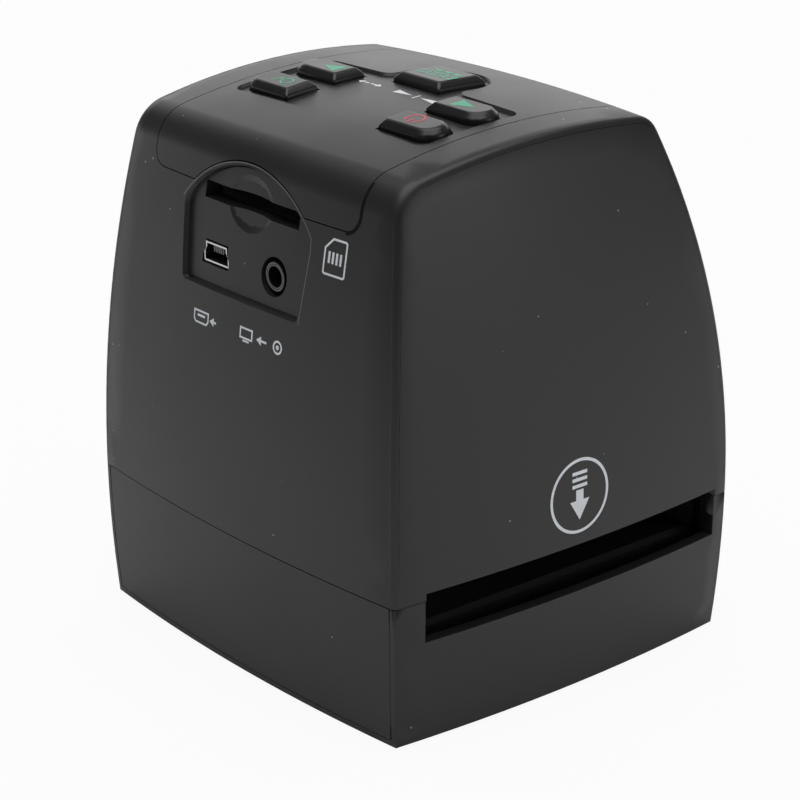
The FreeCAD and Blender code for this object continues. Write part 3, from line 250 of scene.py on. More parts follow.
def true_skin_normals(mesh):
    """Give every face along the case's skin the skin's own normals, so that it shades without facets."""
    smooth_by_angle(mesh)
    count = len(mesh.loops)
    corner = np.empty(count * 3, np.float32)
    mesh.corner_normals.foreach_get("vector", corner)
    corner = corner.reshape(-1, 3)
    vertex_of = np.empty(count, np.int32)
    mesh.loops.foreach_get("vertex_index", vertex_of)
    places = np.empty(len(mesh.vertices) * 3, np.float32)
    mesh.vertices.foreach_get("co", places)
    points = places.reshape(-1, 3)[vertex_of].astype(float) / MM
    points[:, 2] -= FOOT
    starts = np.empty(len(mesh.polygons), np.int32)
    totals = np.empty(len(mesh.polygons), np.int32)
    mesh.polygons.foreach_get("loop_start", starts)
    mesh.polygons.foreach_get("loop_total", totals)
    flat = np.empty(len(mesh.polygons) * 3, np.float32)
    mesh.polygons.foreach_get("normal", flat)
    face_of = np.repeat(np.arange(len(mesh.polygons)), totals)
    order = np.concatenate([np.arange(s, s + t) for s, t in zip(starts, totals)])
    face_normal = np.empty((count, 3))
    face_normal[order] = flat.reshape(-1, 3)[face_of]
    wanted = skin_normals(points)
    facing = np.einsum("ij,ij->i", wanted, face_normal)
    alike = np.abs(facing) > SAME_WAY
    corner[alike] = (wanted * np.sign(facing)[:, None])[alike]
    mesh.normals_split_custom_set(corner.tolist())


# Shader helpers

GRAIN_SCALE = 2600.0
COARSE_SCALE = 0.37
FINE_SHARE = 0.6
COARSE_SHARE = 0.4
CLOUD_SCALE = 45.0
CLOUD_LOW = 0.3
CLOUD_HIGH = 0.7
SPECK_SCALE = 420.0
SPECK_RADIUS = 0.08
SPECK_RARITY = 0.9
DRIFT_SCALE = 60.0
DUST_AMOUNT = 0.5
DUST_GREY = (0.30, 0.30, 0.30)
SHEET_TONE = 0.9


def group_input(tree, name, value):
    """A named number that goes into a node group."""
    socket = tree.interface.new_socket(name=name, in_out="INPUT", socket_type="NodeSocketFloat")
    socket.default_value = value


def group_output(tree, name):
    """A named number that comes out of a node group."""
    tree.interface.new_socket(name=name, in_out="OUTPUT", socket_type="NodeSocketFloat")


def add(tree, kind, **settings):
    """A node with its settings."""
    node = tree.nodes.new(kind)
    for key, value in settings.items():
        setattr(node, key, value)
    return node


def feed(tree, value, socket):
    """Set a socket to a plain number or colour, or link another node's output to it."""
    if isinstance(value, (int, float)):
        socket.default_value = value
    elif isinstance(value, tuple):
        socket.default_value = (*value, 1.0)
    else:
        tree.links.new(value, socket)


def maths(tree, operation, first, second):
    """A maths node's output."""
    node = add(tree, "ShaderNodeMath", operation=operation)
    feed(tree, first, node.inputs[0])
    feed(tree, second, node.inputs[1])
    return node.outputs[0]


def noise(tree, place, scale, detail, roughness):
    """A noise value, 0 to 1."""
    node = add(tree, "ShaderNodeTexNoise")
    feed(tree, place, node.inputs["Vector"])
    feed(tree, scale, node.inputs["Scale"])
    feed(tree, detail, node.inputs["Detail"])
    feed(tree, roughness, node.inputs["Roughness"])
    return node.outputs[0]


def grain_group():
    """Fine moulded grain: a height made of two noises, and a slow cloud for tone."""
    tree = bpy.data.node_groups.new("moulded_grain", "ShaderNodeTree")
    group_input(tree, "Grain Scale", GRAIN_SCALE)
    group_input(tree, "Cloud Scale", CLOUD_SCALE)
    group_output(tree, "Height")
    group_output(tree, "Cloud")
    inside = add(tree, "NodeGroupInput")
    outside = add(tree, "NodeGroupOutput")
    place = add(tree, "ShaderNodeTexCoord").outputs["Object"]
    coarse_scale = maths(tree, "MULTIPLY", inside.outputs["Grain Scale"], COARSE_SCALE)
    fine = noise(tree, place, inside.outputs["Grain Scale"], 2.0, 0.6)
    coarse = noise(tree, place, coarse_scale, 1.0, 0.5)
    height = maths(tree, "ADD", maths(tree, "MULTIPLY", fine, FINE_SHARE),
                   maths(tree, "MULTIPLY", coarse, COARSE_SHARE))
    feed(tree, height, outside.inputs["Height"])
    feed(tree, noise(tree, place, inside.outputs["Cloud Scale"], 3.0, 0.55), outside.inputs["Cloud"])
    return tree


def dust_group():
    """Tiny pale specks: the hearts of scattered cells, kept only where a second noise is high."""
    tree = bpy.data.node_groups.new("dust_specks", "ShaderNodeTree")
    group_input(tree, "Speck Scale", SPECK_SCALE)
    group_input(tree, "Amount", DUST_AMOUNT)
    group_output(tree, "Mask")
    inside = add(tree, "NodeGroupInput")
    outside = add(tree, "NodeGroupOutput")
    place = add(tree, "ShaderNodeTexCoord").outputs["Object"]
    cells = add(tree, "ShaderNodeTexVoronoi", feature="F1")
    feed(tree, place, cells.inputs["Vector"])
    feed(tree, inside.outputs["Speck Scale"], cells.inputs["Scale"])
    near = maths(tree, "LESS_THAN", cells.outputs["Distance"], SPECK_RADIUS)
    chance = add(tree, "ShaderNodeSeparateColor")
    feed(tree, cells.outputs["Color"], chance.inputs[0])
    rare = maths(tree, "GREATER_THAN", chance.outputs[0], SPECK_RARITY)
    drift = noise(tree, place, DRIFT_SCALE, 2.0, 0.5)
    where = maths(tree, "GREATER_THAN", drift, maths(tree, "SUBTRACT", 1.0, inside.outputs["Amount"]))
    mask = maths(tree, "MULTIPLY", maths(tree, "MULTIPLY", near, rare), where)
    feed(tree, mask, outside.inputs["Mask"])
    return tree


def use_group(tree, group, **values):
    """Place a group in a material with its values."""
    node = add(tree, "ShaderNodeGroup", node_tree=group)
    for key, value in values.items():
        node.inputs[key.replace("_", " ")].default_value = value
    return node


def mix_colour(tree, mask, dark, light):
    """Blend two colours by a mask."""
    node = add(tree, "ShaderNodeMix", data_type="RGBA")
    feed(tree, mask, node.inputs[0])
    feed(tree, dark, node.inputs[6])
    feed(tree, light, node.inputs[7])
    return node.outputs[2]


def spread(tree, cloud, low, high):
    """Carry the span that a cloud mostly covers to a range."""
    node = add(tree, "ShaderNodeMapRange")
    feed(tree, cloud, node.inputs["Value"])
    feed(tree, CLOUD_LOW, node.inputs["From Min"])
    feed(tree, CLOUD_HIGH, node.inputs["From Max"])
    feed(tree, low, node.inputs["To Min"])
    feed(tree, high, node.inputs["To Max"])
    return node.outputs["Result"]


GRAIN = grain_group()
DUST = dust_group()


def moulded(name, dark, light, rough, bump=0.02, depth=0.05, dust=0.0, metallic=0.0, coat=0.0, specular=0.5):
    """A moulded or sheet surface: two close tones, fine grain in height and roughness, and a little dust."""
    material = bpy.data.materials.new(name)
    material.use_nodes = True
    tree = material.node_tree
    shader = tree.nodes["Principled BSDF"]
    effect = use_group(tree, GRAIN, Grain_Scale=GRAIN_SCALE)
    colour = mix_colour(tree, effect.outputs["Cloud"], dark, light)
    if dust:
        specks = use_group(tree, DUST, Amount=dust)
        colour = mix_colour(tree, specks.outputs["Mask"], colour, DUST_GREY)
    feed(tree, colour, shader.inputs["Base Color"])
    feed(tree, spread(tree, effect.outputs["Cloud"], rough[0], rough[1]), shader.inputs["Roughness"])
    relief = add(tree, "ShaderNodeBump")
    relief.inputs["Strength"].default_value = bump
    relief.inputs["Distance"].default_value = depth * MM
    feed(tree, effect.outputs["Height"], relief.inputs["Height"])
    feed(tree, relief.outputs["Normal"], shader.inputs["Normal"])
    shader.inputs["Metallic"].default_value = metallic
    shader.inputs["Coat Weight"].default_value = coat
    shader.inputs["Specular IOR Level"].default_value = specular
    return material


def clear_sheet(name, tint, alpha, rough):
    """A clear or tinted sheet: see-through, with a faint cloud in its roughness."""
    material = moulded(name, tint, tuple(SHEET_TONE * part for part in tint), rough, bump=0.0)
    shader = material.node_tree.nodes["Principled BSDF"]
    shader.inputs["Alpha"].default_value = alpha
    return material


# Materials, by finish

CASE_BLACK = moulded("matte_black_case", (0.017, 0.0168, 0.0165), (0.021, 0.0207, 0.0203), (0.36, 0.42),
                     bump=0.35, depth=0.02, dust=0.56)
KEY_BLACK = moulded("satin_black_key", (0.011, 0.011, 0.011), (0.014, 0.014, 0.014), (0.30, 0.36),
                    bump=0.12, depth=0.01)
# Dull black for the inner parts, and also painted shade inside the data socket's steel shell.
INNER_BLACK_AND_SOCKET_SHADE = moulded("dull_black_and_socket_shade", (0.008, 0.008, 0.008), (0.012, 0.012, 0.012), (0.6, 0.7), bump=0.2)
# Near-black for painted shade: the strip over the cover's seam and the dark bands on the case's edge rounds.
PAINTED_SHADE_BLACK = moulded("painted_shade_black", (0.0015, 0.0015, 0.0015), (0.003, 0.003, 0.003), (0.7, 0.8),
                     specular=0.2)
GLOSS_BLACK = moulded("gloss_black_socket", (0.004, 0.004, 0.004), (0.006, 0.006, 0.006), (0.3, 0.36),
                      bump=0.05)
WHITE_MOULDING = moulded("white_moulding", (0.75, 0.75, 0.73), (0.82, 0.82, 0.80), (0.5, 0.6), bump=0.1)
MILKY_SHEET = moulded("milky_diffuser", (0.80, 0.84, 0.86), (0.88, 0.90, 0.90), (0.35, 0.45), bump=0.05)
SOCKET_STEEL = moulded("bright_socket_steel", (0.70, 0.70, 0.68), (0.80, 0.80, 0.78), (0.22, 0.32),
                       metallic=1.0, bump=0.05)
TRAY_STEEL = moulded("tray_steel", (0.48, 0.49, 0.50), (0.56, 0.57, 0.58), (0.3, 0.42),
                     metallic=1.0, bump=0.05)
SCREW_STEEL = moulded("screw_steel", (0.52, 0.52, 0.50), (0.62, 0.62, 0.60), (0.25, 0.35), metallic=1.0)
FOOT_RUBBER = moulded("foot_rubber", (0.020, 0.020, 0.020), (0.032, 0.032, 0.032), (0.75, 0.85), bump=0.3)
BOARD_GREEN = moulded("board_green", (0.012, 0.09, 0.035), (0.02, 0.13, 0.05), (0.35, 0.45),
                      bump=0.05, coat=0.2)
CHIP_BLACK = moulded("chip_black", (0.015, 0.015, 0.016), (0.022, 0.022, 0.024), (0.5, 0.6))
LAMP_YELLOW = moulded("lamp_yellow", (0.75, 0.62, 0.18), (0.82, 0.72, 0.28), (0.2, 0.3), bump=0.02)
RIBBON_AMBER = moulded("ribbon_amber", (0.30, 0.13, 0.03), (0.38, 0.18, 0.05), (0.35, 0.45), bump=0.05)
WINDOW_SMOKE = clear_sheet("smoked_window", (0.012, 0.013, 0.015), 0.62, (0.05, 0.09))
LENS_GLASS = clear_sheet("lens_glass", (0.55, 0.62, 0.70), 0.35, (0.02, 0.05))
PRINT_WHITE = moulded("pale_print", (0.84, 0.88, 0.93), (0.90, 0.94, 0.98), (0.45, 0.55), bump=0.1)
PRINT_GREEN = moulded("green_print", (0.075, 0.44, 0.26), (0.10, 0.50, 0.30), (0.45, 0.55), bump=0.1)
# Grey: the real colour of the data socket's contacts, and painted highlight on the recess rim and the jack's
# rings.
CONTACT_GREY_AND_PAINTED_HIGHLIGHT = moulded("contact_grey_and_painted_highlight", (0.16, 0.16, 0.16), (0.20, 0.20, 0.20), (0.3, 0.4), bump=0.05)
# A lighter grey for the painted highlight along the case's side edge rounds.
PAINTED_EDGE_HIGHLIGHT = moulded("painted_edge_highlight", (0.05, 0.05, 0.05), (0.06, 0.06, 0.06), (0.3, 0.4), bump=0.05)
PRINT_RED = moulded("red_print", (0.66, 0.07, 0.11), (0.74, 0.09, 0.13), (0.45, 0.55), bump=0.1)


# The case's pieces, with true normals

CASE_NODES = ("upper_housing", "top_cover", "display_bezel", "base_shell", "rear_lower_panel",
              "front_lower_panel", "port_plate")


def on_the_skin(node, material):
    """A piece whose outer faces lie along the case's skin, with the skin's own normals."""
    piece = merged_copy(node)
    finish_in(piece.data, material)
    true_skin_normals(piece.data)
    return piece


finished = {node: on_the_skin(node, CASE_BLACK) for node in CASE_NODES}
finished["display_window"] = on_the_skin("display_window", WINDOW_SMOKE)
HOUSING = finished["upper_housing"]
COVER = finished["top_cover"]


# The keys, with soft edges

KEYS = ("confirm", "flip", "scan", "mirror", "power")
KEY_ROUND = 0.42
KEY_ROUND_STEPS = 4
KEY_EDGE_ANGLE = 28
KEY_SMOOTH_ANGLE = 20


def rounded_key(node):
    """A key with its bevel softened into a round, as it comes from the mould."""
    piece = merged_copy(node)
    mesh = piece.data
    square_up(mesh)
    finish_in(mesh, KEY_BLACK)
    smooth_by_angle(mesh, KEY_SMOOTH_ANGLE)
    rounding = piece.modifiers.new("soft_edges", "BEVEL")
    rounding.limit_method = "ANGLE"
    rounding.angle_limit = math.radians(KEY_EDGE_ANGLE)
    rounding.width = KEY_ROUND * MM
    rounding.segments = KEY_ROUND_STEPS
    rounding.harden_normals = True
    return piece


keys = {key: rounded_key(key + "_button") for key in KEYS}


# Printed marks, drawn flat in millimetres and laid on a face

PRINT_LIFT = 0.02
CAST_HEIGHT = 6.0
FINE_LINE = 0.34
THIN_LINE = 0.36
LINE = 0.4
BOLD_LINE = 0.42
RING_LINE = 0.55
LEAST_MITRE = 0.5
NECK_SHARE = 0.8

# The directions to the right and up, as a reader of the marks on a side sees them.
FROM_BEHIND = ((-1, 0, 0), (0, 0, 1))
FROM_SLOT_SIDE = ((0, -1, 0), (0, 0, 1))
FROM_ABOVE = ((1, 0, 0), (0, 1, 0))

# The planes that the marks are drawn on, close to the back, the slotted side, the cover and the keys.
BACK_PLANE = 39.0
SLOT_PLANE = -43.0
COVER_PLANE = 97.0
KEY_PLANE = 98.0


def unit_rows(rows):
    """Rows of a table brought to length one."""
    return rows / np.maximum(np.linalg.norm(rows, axis=1, keepdims=True), TINY)


def stroke(points, width, closed=False):
    """A line of a width through points: a strip of four-sided faces, mitred at the bends."""
    points = np.asarray(points, float)
    count = len(points)
    before = np.roll(points, 1, axis=0)
    after = np.roll(points, -1, axis=0)
    if not closed:
        before[0] = 2 * points[0] - points[1]
        after[-1] = 2 * points[-1] - points[-2]
    into = unit_rows(points - before)
    along = unit_rows(into + unit_rows(after - points))
    side = np.stack([-along[:, 1], along[:, 0]], axis=1)
    across = np.stack([-into[:, 1], into[:, 0]], axis=1)
    reach = 0.5 * width / np.maximum(np.sum(side * across, axis=1, keepdims=True), LEAST_MITRE)
    outline = np.concatenate([points + side * reach, points - side * reach])
    last = count if closed else count - 1
    faces = [(i, count + i, count + (i + 1) % count, (i + 1) % count) for i in range(last)]
    return outline, faces


def patch(points):
    """A filled shape inside a convex outline."""
    return np.asarray(points, float), [tuple(range(len(points)))]


def block(x, y, width, height):
    """A filled rectangle about a middle."""
    half_x, half_y = 0.5 * width, 0.5 * height
    return patch([(x - half_x, y - half_y), (x + half_x, y - half_y), (x + half_x, y + half_y),
                  (x - half_x, y + half_y)])


def ring(x, y, radius, width, start=0.0, stop=360.0, steps=40):
    """A ring, or part of one between two angles in degrees."""
    whole = stop - start >= 360.0
    angles = np.radians(np.linspace(start, stop, steps, endpoint=not whole))
    points = np.stack([x + radius * np.cos(angles), y + radius * np.sin(angles)], axis=1)
    return stroke(points, width, closed=whole)


def frame_line(x, y, width, height, line):
    """The outline of a rectangle about a middle."""
    half_x, half_y = 0.5 * (width - line), 0.5 * (height - line)
    return stroke([(x - half_x, y - half_y), (x + half_x, y - half_y), (x + half_x, y + half_y),
                   (x - half_x, y + half_y)], line, closed=True)


def arrow(x, y, length, head, line, turn):
    """An arrow about a middle, pointing along a direction in degrees."""
    tip = 0.5 * length
    neck = tip - NECK_SHARE * head
    shaft = block(0.5 * (neck - tip), 0, neck + tip, line)
    point = patch([(neck, -0.5 * head), (tip, 0), (neck, 0.5 * head)])
    cosine, sine = math.cos(math.radians(turn)), math.sin(math.radians(turn))
    spin = np.array([[cosine, sine], [-sine, cosine]])
    return [(outline @ spin + np.array([x, y]), faces) for outline, faces in (shaft, point)]


def surface_of(piece):
    """A piece's faces, for laying marks on them."""
    mesh = piece.data
    return BVHTree.FromPolygons([vertex.co for vertex in mesh.vertices],
                                [tuple(face.vertices) for face in mesh.polygons])


def lay_mark(name, shapes, centre, view, piece, material):
    """A mark laid on a piece: each point is dropped straight onto it and lifted by a print's height."""
    right, up = Vector(view[0]), Vector(view[1])
    outward = right.cross(up)
    surface = surface_of(piece)
    start = Vector(centre) * MM + Vector((0, 0, FOOT * MM)) + outward * CAST_HEIGHT * MM
    vertices, faces = [], []
    for outline, shape_faces in shapes:
        first = len(vertices)
        for x, y in outline:
            place = start + (right * x + up * y) * MM
            landed = surface.ray_cast(place, -outward)[0]
            vertices.append(tuple((landed + outward * PRINT_LIFT * MM) / MM))
        faces += [tuple(first + index for index in face) for face in shape_faces]
    new_piece(name, vertices, faces, piece["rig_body"], material)


def data_socket_mark():
    """A flat plug beside an arrow."""
    plug = stroke([(-3.0, -0.5), (-2.5, -1.0), (0.5, -1.0), (1.0, -0.5), (1.0, 1.0), (-3.0, 1.0)],
                  FINE_LINE, closed=True)
    return [plug, block(-1.0, 0.25, 2.2, BOLD_LINE)] + arrow(2.4, 0, 1.9, 1.5, LINE, 180)


def picture_socket_mark():
    """A screen, an arrow to it and a round plug."""
    screen = frame_line(-4.1, 0.2, 3.5, 2.0, FINE_LINE)
    stand = block(-4.1, -1.1, 1.7, FINE_LINE)
    plug = [ring(4.2, 0, 1.0, THIN_LINE), ring(4.2, 0, 0.5 * LINE, LINE)]
    return [screen, stand] + arrow(0, 0, 2.7, 1.6, LINE, 180) + plug


def card_mark():
    """A card with a cut corner and a row of contacts."""
    card = stroke([(-2.45, -2.7), (-2.2, -2.9), (2.2, -2.9), (2.45, -2.7), (2.45, 2.65), (2.2, 2.85),
                   (-0.75, 2.85), (-2.45, 1.2)], THIN_LINE, closed=True)
    return [card] + [block(-1.35 + 0.9 * step, -0.15, 0.5, 1.9) for step in range(4)]


def film_mark():
    """A strip going down into a slot, inside a ring."""
    edge = ring(0, 0, 6.4, RING_LINE, steps=96)
    bars = [block(0, 4.1 - 1.15 * step, 3.4, 0.62) for step in range(3)]
    return [edge] + bars + arrow(0, -1.6, 5.4, 4.4, 1.7, -90)


def confirm_mark():
    """A ring with a tick."""
    return [ring(-0.75, 0, 1.15, LINE), stroke([(0.9, 0.1), (1.4, -0.9), (2.3, 1.2)], BOLD_LINE)]


def flip_mark():
    """Two arrows that point apart."""
    return arrow(-1.65, 0, 2.8, 1.5, THIN_LINE, 180) + arrow(1.65, 0, 2.8, 1.5, THIN_LINE, 0)


def mirror_mark():
    """Two wedges on either side of a line."""
    return [patch([(-5.3, -0.85), (-1.0, 0), (-5.3, 0.85)]), block(0, 0, THIN_LINE, 2.0),
            patch([(5.3, 0.85), (1.0, 0), (5.3, -0.85)])]


def scan_mark():
    """A film frame crossed by a scanning line, over three short bars."""
    frame_mark = [frame_line(0, 1.0, 8.6, 2.3, LINE), block(-2.2, 1.0, 0.5, 2.3), block(2.2, 1.0, 0.5, 2.3),
                  block(0, 1.0, 2.4, 0.45)]
    return frame_mark + [block(-2.4 + 2.4 * step, -1.5, 1.7, 1.1) for step in range(3)]


def power_mark():
    """A broken ring with a line in its gap."""
    return [ring(0, 0, 1.65, BOLD_LINE, start=125.0, stop=415.0), block(0, 1.1, BOLD_LINE, 1.9)]


def flip_key_mark():
    """A solid wedge that points to the right."""
    return [patch([(2.3, 0), (-2.1, 1.8), (-2.1, -1.8)])]


def mirror_key_mark():
    """A solid wedge that points to the left."""
    return [patch([(-2.5, 0), (2.2, -1.8), (2.2, 1.8)])]


MARKS = (
    ("data_socket_print", data_socket_mark, (8.4, BACK_PLANE, 62.1), FROM_BEHIND, HOUSING, PRINT_WHITE),
    ("picture_socket_print", picture_socket_mark, (-7.45, BACK_PLANE, 62.35), FROM_BEHIND, HOUSING,
     PRINT_WHITE),
    ("card_print", card_mark, (-23.3, BACK_PLANE, 79.95), FROM_BEHIND, HOUSING, PRINT_WHITE),
    ("film_print", film_mark, (SLOT_PLANE, -0.25, 35.8), FROM_SLOT_SIDE, HOUSING, PRINT_WHITE),
    ("flip_print", flip_mark, (7.9, 2.9, COVER_PLANE), FROM_ABOVE, COVER, PRINT_WHITE),
    ("mirror_print", mirror_mark, (-4.5, 3.0, COVER_PLANE), FROM_ABOVE, COVER, PRINT_WHITE),
    ("confirm_key_print", confirm_mark, (17.0, 14.5, KEY_PLANE), FROM_ABOVE, keys["confirm"], PRINT_GREEN),
    ("flip_key_print", flip_key_mark, (16.5, 4.3, KEY_PLANE), FROM_ABOVE, keys["flip"], PRINT_GREEN),
    ("mirror_key_print", mirror_key_mark, (-18.2, 4.2, KEY_PLANE), FROM_ABOVE, keys["mirror"], PRINT_GREEN),
    ("scan_key_print", scan_mark, (-0.6, -6.0, KEY_PLANE), FROM_ABOVE, keys["scan"], PRINT_GREEN),
    ("power_key_print", power_mark, (-17.4, 14.2, KEY_PLANE), FROM_ABOVE, keys["power"], PRINT_RED),
)
for name, draw, place, view, piece, material in MARKS:
    lay_mark(name, draw(), place, view, piece, material)


# The sockets' small parts

SOCKET_HEIGHT = 73.05
DATA_SOCKET_X = 8.05
DATA_SOCKET_EDGE = 0.2
PICTURE_SOCKET_X = -7.95
CONTACT_COUNT = 5
CONTACT_PITCH = 0.62
CONTACT_WIDTH = 0.36
CONTACT_LENGTH = 1.15
CONTACT_SHIFT = -0.25
CONTACT_RISE = 0.75
CONTACT_SETBACK = 0.5
RECESS_DEPTH = 1.1
RECESS_FOOT_HALF_WIDTH = 15.8
RECESS_HALF_WIDTH = 17.2
RECESS_BOTTOM_DROP = 30.45
RECESS_SHOULDER_DROP = 16.7
RECESS_TOP_DROP = 8.35
RIM_OFFSET = 0.45
RIM_LINE = 0.16
JACK_OUTER_RING = 2.3
JACK_INNER_RING = 1.95
JACK_INNER_LINE = 0.12
COVER_HALF_WIDTH = 27.73
COVER_BACK_BOTTOM = 84.4
COVER_CORNER = 3.0
SEAM_TOP = 92.5
SEAM_GAP = 0.3
SEAM_OFFSET = 0.15
SEAM_LINE = 0.58
SEAM_STEPS = 16
CORNER_STEPS = 14
CORNER_TURN = 1.5
ARCH_STEPS = 49
ARCH_END = 0.97
SIDE_SHARES = (0.12, 0.4, 0.7, 0.97)
DROP_STEPS = 12


def back_y(x, z, inset):
    """Where the case's back lies, at a place and a depth under its skin."""
    return onto_skin(np.array([[x, BACK_PLANE, z]]), -inset)[0][1]


def data_socket():
    """The data socket's shell: bright steel on its folded edge, and black elsewhere as painted shade inside
    the steel shell.
    """
    piece = merged_copy("usb_socket")
    mesh = piece.data
    mesh.materials.clear()
    mesh.materials.append(INNER_BLACK_AND_SOCKET_SHADE)
    mesh.materials.append(SOCKET_STEEL)
    front = max(vertex.co.y for vertex in mesh.vertices)
    for face in mesh.polygons:
        # Only the front rim keeps the steel; the rest is painted shade in black.
        face.material_index = 1 if face.center.y > front - DATA_SOCKET_EDGE * MM else 0


def socket_contacts():
    """Five contact ends in the mouth of the data socket."""
    depth = back_y(DATA_SOCKET_X, SOCKET_HEIGHT, RECESS_DEPTH) - CONTACT_SETBACK
    middle_x = DATA_SOCKET_X + CONTACT_SHIFT
    middle_z = SOCKET_HEIGHT + CONTACT_RISE + FOOT
    vertices, faces = [], []
    for step in range(CONTACT_COUNT):
        x = middle_x + (step - 0.5 * (CONTACT_COUNT - 1)) * CONTACT_PITCH
        outline, shape = block(x, middle_z, CONTACT_WIDTH, CONTACT_LENGTH)
        faces += [tuple(len(vertices) + index for index in face) for face in shape]
        vertices += [(x, depth, z) for x, z in outline]
    new_piece("data_socket_contacts", vertices, faces, "case", CONTACT_GREY_AND_PAINTED_HIGHLIGHT)


def recess_line(offset):
    """The sockets' recess at a distance outside it: an arc over both shoulders, then one leaning side."""
    foot, wide = RECESS_FOOT_HALF_WIDTH + offset, RECESS_HALF_WIDTH + offset
    bottom = HEIGHT - RECESS_BOTTOM_DROP - offset
    shoulder = HEIGHT - RECESS_SHOULDER_DROP
    top = HEIGHT - RECESS_TOP_DROP + offset
    radius = arc_radius(wide, top - shoulder)
    reach = math.asin(wide / radius)
    arch = [(radius * math.sin(turn), top - radius + radius * math.cos(turn))
            for turn in np.linspace(-reach, reach * ARCH_END, ARCH_STEPS)]
    side = [(wide + (foot - wide) * share, shoulder + (bottom - shoulder) * share)
            for share in SIDE_SHARES]
    return arch + side


def drop_on_back(outline):
    """Points of a drawing as seen from behind, moved straight in onto the case's back skin."""
    points = np.stack([-outline[:, 0], np.full(len(outline), BACK_PLANE), outline[:, 1]], axis=1)
    for _ in range(DROP_STEPS):
        points[:, 1] -= (skin_distance(points) - PRINT_LIFT) / skin_normals(points)[:, 1]
    return points + np.array([0, 0, FOOT])


def cover_seam_line():
    """The seam beside the button cover, from the case's shoulder down and round the cover's lower corner."""
    wide = COVER_HALF_WIDTH + SEAM_OFFSET
    corner_x, corner_z = COVER_HALF_WIDTH - COVER_CORNER, COVER_BACK_BOTTOM + COVER_CORNER
    reach = COVER_CORNER + SEAM_OFFSET
    side = [(wide, z) for z in np.linspace(SEAM_TOP, corner_z + SEAM_GAP, SEAM_STEPS)]
    corner = [(corner_x + reach * math.cos(turn), corner_z - reach * math.sin(turn))
              for turn in np.linspace(0, CORNER_TURN, CORNER_STEPS)]
    return side + corner


data_socket()
socket_contacts()
socket_place = (0, BACK_PLANE, SOCKET_HEIGHT)
# Painted highlight: a pale line laid along the recess's rim, where its rounded lip would catch light.
rim = [(x, z - SOCKET_HEIGHT) for x, z in recess_line(RIM_OFFSET)]
lay_mark("recess_painted_highlight", [stroke(rim, RIM_LINE)], socket_place, FROM_BEHIND, HOUSING, CONTACT_GREY_AND_PAINTED_HIGHLIGHT)
# Painted shade: a black strip laid over the seam beside the button cover, wider than the seam's real gap.
seam_outline, seam_faces = stroke(cover_seam_line(), SEAM_LINE)
new_piece("cover_seam_shadow", drop_on_back(seam_outline), seam_faces, "case", PAINTED_SHADE_BLACK)
# Painted highlight: two pale rings on the jack, where its rounded edges would catch light.
rings = [ring(0, 0, JACK_OUTER_RING, RIM_LINE), ring(0, 0, JACK_INNER_RING, JACK_INNER_LINE)]
jack_place = (PICTURE_SOCKET_X, BACK_PLANE, SOCKET_HEIGHT)
lay_mark("jack_painted_highlight_rings", rings, jack_place, FROM_BEHIND, frame["nodes"]["av_jack"], CONTACT_GREY_AND_PAINTED_HIGHLIGHT)


# The crisp line round each side of the case, drawn as bands of painted highlight and painted shade

FAN_HEIGHT = 50.0
FAN_STEPS = 360
FAN_REACH = 90.0
FAN_HALVINGS = 36
EDGE_FOOT = 26.6
SHINE_TURNS = (8, 16, 24)
SHADOW_TURNS = (32, 46, 60, 74, 84)


def edge_band(name, side, turns, material):
    """A narrow band of painted highlight or painted shade on the round between a side of the case and its
    back, top and front.

    Directions are fanned from the case's middle, and the distance along each of them is halved down to the
    place where the outline stands as far in as the round's arc does at that turn.
    """
    start = math.atan2(EDGE_FOOT - FAN_HEIGHT, HALF_DEPTH)
    fan = np.linspace(start, math.pi - start, FAN_STEPS)
    rows = []
    for turn in np.radians(turns):
        near, far = np.zeros_like(fan), np.full_like(fan, FAN_REACH)
        for _ in range(FAN_HALVINGS):
            reach = 0.5 * (near + far)
            y, z = reach * np.cos(fan), FAN_HEIGHT + reach * np.sin(fan)
            x = side * (half_width_at(y, z) + EDGE_ROUND * (math.sin(turn) - 1))
            outside = skin_parts(np.stack([x, y, z], axis=1))[0] > EDGE_ROUND * (math.cos(turn) - 1)
            near, far = np.where(outside, near, reach), np.where(outside, reach, far)
        rows.append(onto_skin(np.stack([x, y, z], axis=1), PRINT_LIFT))
    count = len(fan)
    faces = [(row * count + i, row * count + i + 1, (row + 1) * count + i + 1, (row + 1) * count + i)
             for row in range(len(rows) - 1) for i in range(count - 1)]
    vertices = np.concatenate(rows) + np.array([0, 0, FOOT])
    smooth_by_angle(new_piece(name, vertices, faces, "case", material).data)


# Painted highlight and painted shade bands on the rounds of both side edges.
for side, where in ((-1, "slot_side"), (1, "far_side")):
    edge_band(where + "_edge_painted_highlight", side, SHINE_TURNS, PAINTED_EDGE_HIGHLIGHT)
    edge_band(where + "_edge_painted_shade", side, SHADOW_TURNS, PAINTED_SHADE_BLACK)


# CAD nodes that keep their own mesh and get a finish

